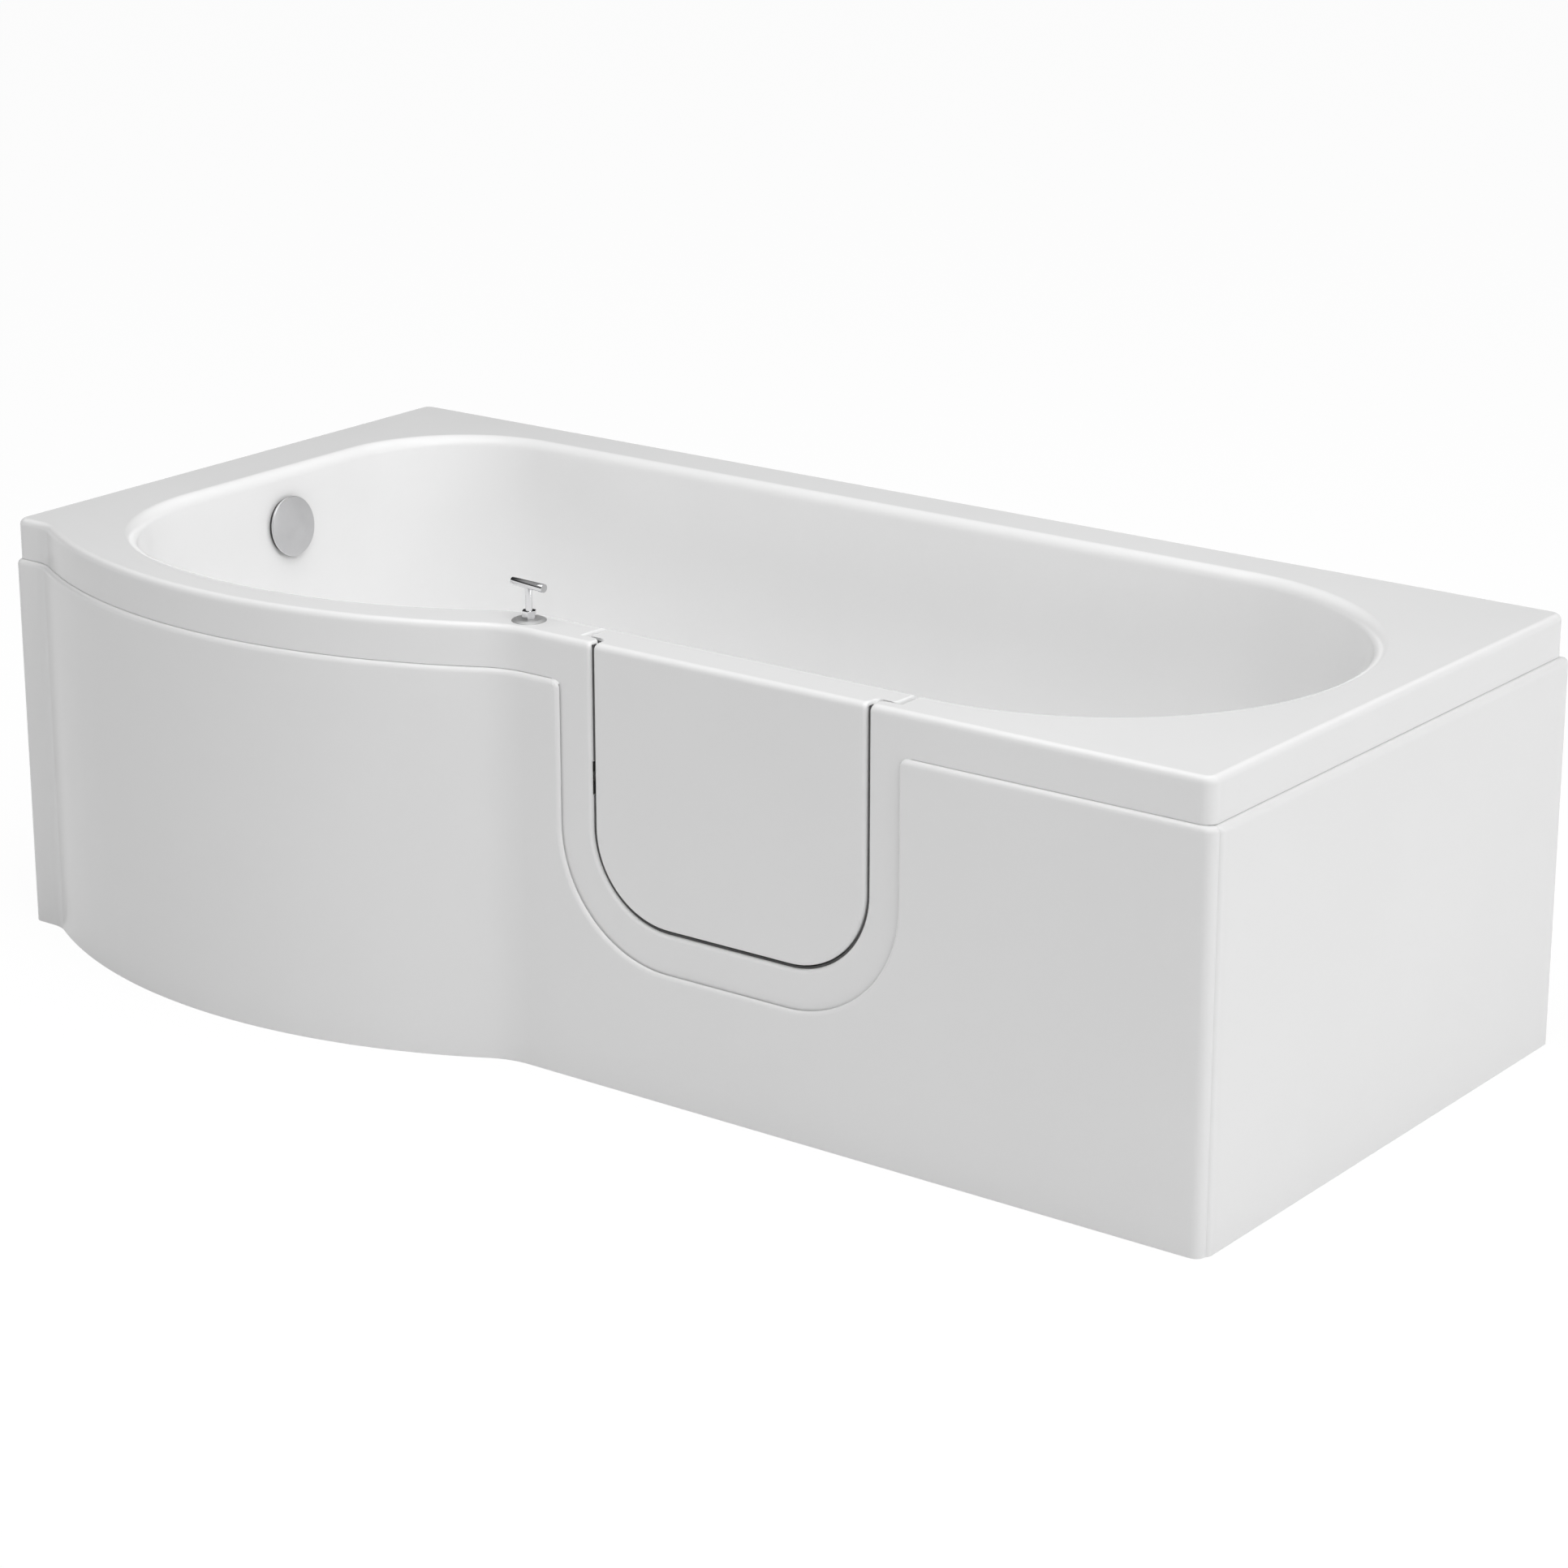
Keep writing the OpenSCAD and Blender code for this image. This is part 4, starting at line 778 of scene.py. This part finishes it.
def overflow_cap():
    """A thin domed cap, satin on its face and edge and black behind, on its stem."""
    gap, r, edge, middle, corner = 4.5, 37.5, 3.0, 5.5, 0.8
    stem_r, stem_low, back = 5, -26, gap + 1.5
    outline = [(0, stem_low), (stem_r, stem_low), (stem_r, back), (r - 4, back)]
    outline += [(r - 1, gap), (r, gap + 0.6)]
    outline += [(r - corner * c, gap + edge - corner * s) for s, c in quarter(4)]
    for share in [1 - k / 12 for k in range(1, 13)]:
        rise = gap + edge + (middle - edge) * (1 - share * share)
        outline.append(((r - corner) * share, rise))
    finishes = [FINISH["black_plastic"], FINISH["satin_chrome"]]
    cap = lathe("overflow_cap_disc", outline, OVERFLOW, CAP_LOOKS, finishes, 5)
    return finish_piece(cap, "overflow_knob", ["overflow_cap"])


def screw_shape():
    """A countersunk screw with a cross recess, 4 mm by 15 mm, head up at the origin."""
    core, crest = 1.5, 1.95
    outline = [(0.0, 0.0), (3.75, 0.0), (4.0, -0.25), (2.05, -2.2)]
    z = -2.6
    while z > -12.4:
        outline += [(core, z), (crest, z - 0.35), (crest, z - 0.45), (core, z - 0.8)]
        z -= 1.0
    outline += [(1.4, -13.2), (0.0, -15.0)]
    n = 24
    points, faces = [], []
    for r, z in outline:
        for i in range(n):
            a = 2 * math.pi * i / n
            points.append((r * math.cos(a) / 1000, r * math.sin(a) / 1000, z / 1000))
    for k in range(len(outline) - 1):
        for i in range(n):
            j = (i + 1) % n
            faces.append((k * n + i, (k + 1) * n + i, (k + 1) * n + j, k * n + j))
    mesh = bpy.data.meshes.new("screw")
    mesh.from_pydata(points, [], faces)
    turn_out(mesh, 1e-6)
    piece = show("screw", mesh)
    for wide, long in ((0.8, 4.2), (4.2, 0.8)):
        shape = bmesh.new()
        bmesh.ops.create_cube(shape, size=1.0)
        bmesh.ops.scale(shape, vec=(wide / 1000, long / 1000, 0.004), verts=shape.verts)
        arm = bpy.data.meshes.new("recess")
        shape.to_mesh(arm)
        shape.free()
        cut(piece, show("recess", arm))
    return piece


def spread_tree():
    """Geometry Nodes: a screw on every point of a mesh, turned as the point's attribute says."""
    tree = bpy.data.node_groups.new("screws_on_points", "GeometryNodeTree")
    face = tree.interface
    face.new_socket("Points", in_out="INPUT", socket_type="NodeSocketGeometry")
    face.new_socket("Screw", in_out="INPUT", socket_type="NodeSocketObject")
    face.new_socket("Finish", in_out="INPUT", socket_type="NodeSocketMaterial")
    face.new_socket("Size", in_out="INPUT", socket_type="NodeSocketFloat").default_value = 1.0
    face.new_socket("Screws", in_out="OUTPUT", socket_type="NodeSocketGeometry")
    nodes, links = tree.nodes, tree.links
    given, out = nodes.new("NodeGroupInput"), nodes.new("NodeGroupOutput")
    shape = nodes.new("GeometryNodeObjectInfo")
    turn = nodes.new("GeometryNodeInputNamedAttribute")
    turn.data_type = "FLOAT_VECTOR"
    turn.inputs["Name"].default_value = "turn"
    spread = nodes.new("GeometryNodeInstanceOnPoints")
    real = nodes.new("GeometryNodeRealizeInstances")
    paint = nodes.new("GeometryNodeSetMaterial")
    links.new(given.outputs["Screw"], shape.inputs["Object"])
    links.new(given.outputs["Points"], spread.inputs["Points"])
    links.new(shape.outputs["Geometry"], spread.inputs["Instance"])
    links.new(turn.outputs["Attribute"], spread.inputs["Rotation"])
    links.new(given.outputs["Size"], spread.inputs["Scale"])
    links.new(spread.outputs["Instances"], real.inputs["Geometry"])
    links.new(real.outputs["Geometry"], paint.inputs["Geometry"])
    links.new(given.outputs["Finish"], paint.inputs["Material"])
    links.new(paint.outputs["Geometry"], out.inputs["Screws"])
    return tree


def screw_row(name, tree, screw, places, turn, body, slot, node):
    """Screws of one node at their places, each with its slot turned a little differently."""
    mesh = bpy.data.meshes.new(name)
    mesh.from_pydata([place(*p) for p in places], [], [])
    turns = mesh.attributes.new("turn", "FLOAT_VECTOR", "POINT")
    for i, entry in enumerate(turns.data):
        twist = Matrix.Rotation(math.radians(37 * i + 11), 3, "Z")
        entry.vector = (turn @ twist).to_euler()
    piece = show(name, mesh)
    spread = piece.modifiers.new("screws", "NODES")
    spread.node_group = tree
    wanted = {"Screw": screw, "Finish": FINISH[slot], "Size": 1.0}
    for item in tree.interface.items_tree:
        if item.in_out == "INPUT" and item.name in wanted:
            spread[item.identifier] = wanted[item.name]
    settle(piece)
    return finish_piece(piece, body, [node], 30.0)


def all_screws():
    tree, screw = spread_tree(), screw_shape()
    # Each turn takes the screw's head, which looks along +z, to where that row's heads look
    inward = Matrix.Rotation(math.radians(-90), 3, "X")
    down = Matrix.Rotation(math.radians(180), 3, "X")
    left = Matrix.Rotation(math.radians(-90), 3, "Y")
    sides, high = (-1, 1), [z + s * 21.0 for z in HINGE_ZS for s in (-1, 0, 1)]
    on_frame = [(1302.2, 676.5, z) for z in high]
    on_door = [(1263.2, 681, z) for z in high]
    rail_xs = [x + side * 10 for x in (372, 860, 1330) for side in sides]
    rails = [(x, y, 99.5) for x in rail_xs for y in (210, 590)]
    brackets = [(x + side * 10, 19.3, 477) for x in (420, 1260) for side in sides]
    case = [(832.5, 718, BOLT_Z + side * 23) for side in sides]
    rows = (
        ("hinge_screws_frame", on_frame, inward, "bath", "stainless", "hinge_frame_screws"),
        ("hinge_screws_door", on_door, inward, "door", "stainless", "hinge_door_screws"),
        ("rail_screws", rails, down, "bath", "zinc_steel", "cradle_screws"),
        ("bracket_wood_screws", brackets, down, "bath", "zinc_steel", "bracket_screws"),
        ("lock_case_screws", case, left, "bath", "zinc_steel", "lock_screws"),
    )
    for name, *row in rows:
        screw_row(name, tree, screw, *row)
    bpy.data.objects.remove(screw, do_unlink=True)


def dress_nodes():
    """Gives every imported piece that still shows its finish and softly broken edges."""
    slots = {row["node"]: row["material_slot"] for row in frame["record"]["subparts"]}
    for name, piece in frame["nodes"].items():
        if piece.hide_render:
            continue
        look = "satin_nickel" if name == "handle_rosette" else slots[name]
        piece.data.materials.clear()
        piece.data.materials.append(FINISH[look])
        weld = piece.modifiers.new("weld", "WELD")
        weld.merge_threshold = 0.000005
        edge = piece.modifiers.new("broken edges", "BEVEL")
        edge.width, edge.segments, edge.limit_method = 0.0004, 2, "ANGLE"
        edge.angle_limit = math.radians(40)
        edge.harden_normals = True


def seen(nodes, links):
    """1 for rays from the camera or off gloss and glass, which show the background."""
    path = nodes.new("ShaderNodeLightPath")
    result = path.outputs["Is Camera Ray"]
    for kind in ("Is Glossy Ray", "Is Transmission Ray"):
        either = nodes.new("ShaderNodeMath")
        either.operation = "MAXIMUM"
        links.new(result, either.inputs[0])
        links.new(path.outputs[kind], either.inputs[1])
        result = either.outputs["Value"]
    return result


def floor():
    """A pale floor that keeps a trace of the object's shadow."""
    half = 12
    corners = [(-half, -half, 0), (half, -half, 0), (half, half, 0), (-half, half, 0)]
    mesh = bpy.data.meshes.new("floor")
    mesh.from_pydata(corners, [], [(0, 1, 2, 3)])
    ground = show("floor", mesh)
    finish = bpy.data.materials.new("floor_white")
    finish.use_nodes = True
    nodes, links = finish.node_tree.nodes, finish.node_tree.links
    nodes.clear()
    matt = nodes.new("ShaderNodeBsdfDiffuse")
    matt.inputs["Color"].default_value = (0.85, 0.85, 0.85, 1)
    glow = nodes.new("ShaderNodeEmission")
    glow.inputs["Color"].default_value = (1, 1, 1, 1)
    glow.inputs["Strength"].default_value = 1.03
    share = nodes.new("ShaderNodeMath")
    share.operation = "MULTIPLY"
    share.inputs[1].default_value = 0.92
    blend = nodes.new("ShaderNodeMixShader")
    out = nodes.new("ShaderNodeOutputMaterial")
    links.new(seen(nodes, links), share.inputs[0])
    links.new(share.outputs["Value"], blend.inputs["Fac"])
    links.new(matt.outputs["BSDF"], blend.inputs[1])
    links.new(glow.outputs["Emission"], blend.inputs[2])
    links.new(blend.outputs["Shader"], out.inputs["Surface"])
    mesh.materials.append(finish)


def sky():
    """The room: white low down, where a level view looks, a dark band above, grey overhead."""
    world = bpy.data.worlds.new("room")
    bpy.context.scene.world = world
    world.use_nodes = True
    nodes, links = world.node_tree.nodes, world.node_tree.links
    room = nodes["Background"]
    room.inputs["Strength"].default_value = 1.0
    where, split = nodes.new("ShaderNodeTexCoord"), nodes.new("ShaderNodeSeparateXYZ")
    rise = nodes.new("ShaderNodeValToRGB")
    stops = rise.color_ramp.elements
    stops[0].position, stops[0].color = 0.12, (1, 1, 1, 1)
    stops[1].position, stops[1].color = 0.66, (0.37, 0.37, 0.37, 1)
    stops.new(0.18).color = stops.new(0.38).color = (0.03, 0.03, 0.03, 1)
    links.new(where.outputs["Generated"], split.inputs["Vector"])
    links.new(split.outputs["Z"], rise.inputs["Fac"])
    links.new(rise.outputs["Color"], room.inputs["Color"])


def outward(around, rise):
    """The direction away from the bath at an angle round from the front and one up."""
    turn, up = math.radians(around), math.radians(rise)
    flat = math.cos(up)
    return Vector((math.sin(turn) * flat, -math.cos(turn) * flat, math.sin(up)))


def lamp(name, around, rise, far, size, power):
    """A soft lamp that looks at the bath from as far as given, in metres."""
    aim, away = Vector((0, 0, 0.3)), outward(around, rise)
    light = bpy.data.lights.new(name, "AREA")
    light.shape = "RECTANGLE"
    light.size, light.size_y = size
    light.energy = power
    holder = show(name, light)
    holder.location = aim + away * far
    holder.rotation_euler = (-away).to_track_quat("-Z", "Y").to_euler()


def camera():
    """The photo's view, from the right and above, without roll."""
    around, rise = 36.943, 18.195
    turn = math.radians(around)
    back = outward(around, rise)
    right = Vector((math.cos(turn), math.sin(turn), 0))
    up = back.cross(right)
    lens = bpy.data.cameras.new("camera")
    lens.lens, lens.sensor_width = 98.67, 36.0
    lens.clip_start, lens.clip_end = 0.05, 100.0
    holder = show("camera", lens)
    turned = Matrix((right, up, back)).transposed()
    holder.matrix_world = Matrix.Translation((2.891, -3.7503, 1.8126)) @ turned.to_4x4()
    bpy.context.scene.camera = holder


bath_shell()
doorway_strip()
door()
front_panel()
end_panel()
overflow_cap()
all_screws()
dress_nodes()
floor()
sky()
lamp("ceiling_back", 180, 70, 3.0, (2.6, 2.0), 15.0)
lamp("ceiling_front", 0, 76, 3.0, (2.6, 2.0), 36.0)
lamp("right_high", 68, 45, 6.4, (3.8, 2.9), 97.0)
lamp("right_back", 105, 20, 6.4, (3.8, 2.9), 55.0)
camera()

view = bpy.context.scene.view_settings
view.view_transform = "Standard"
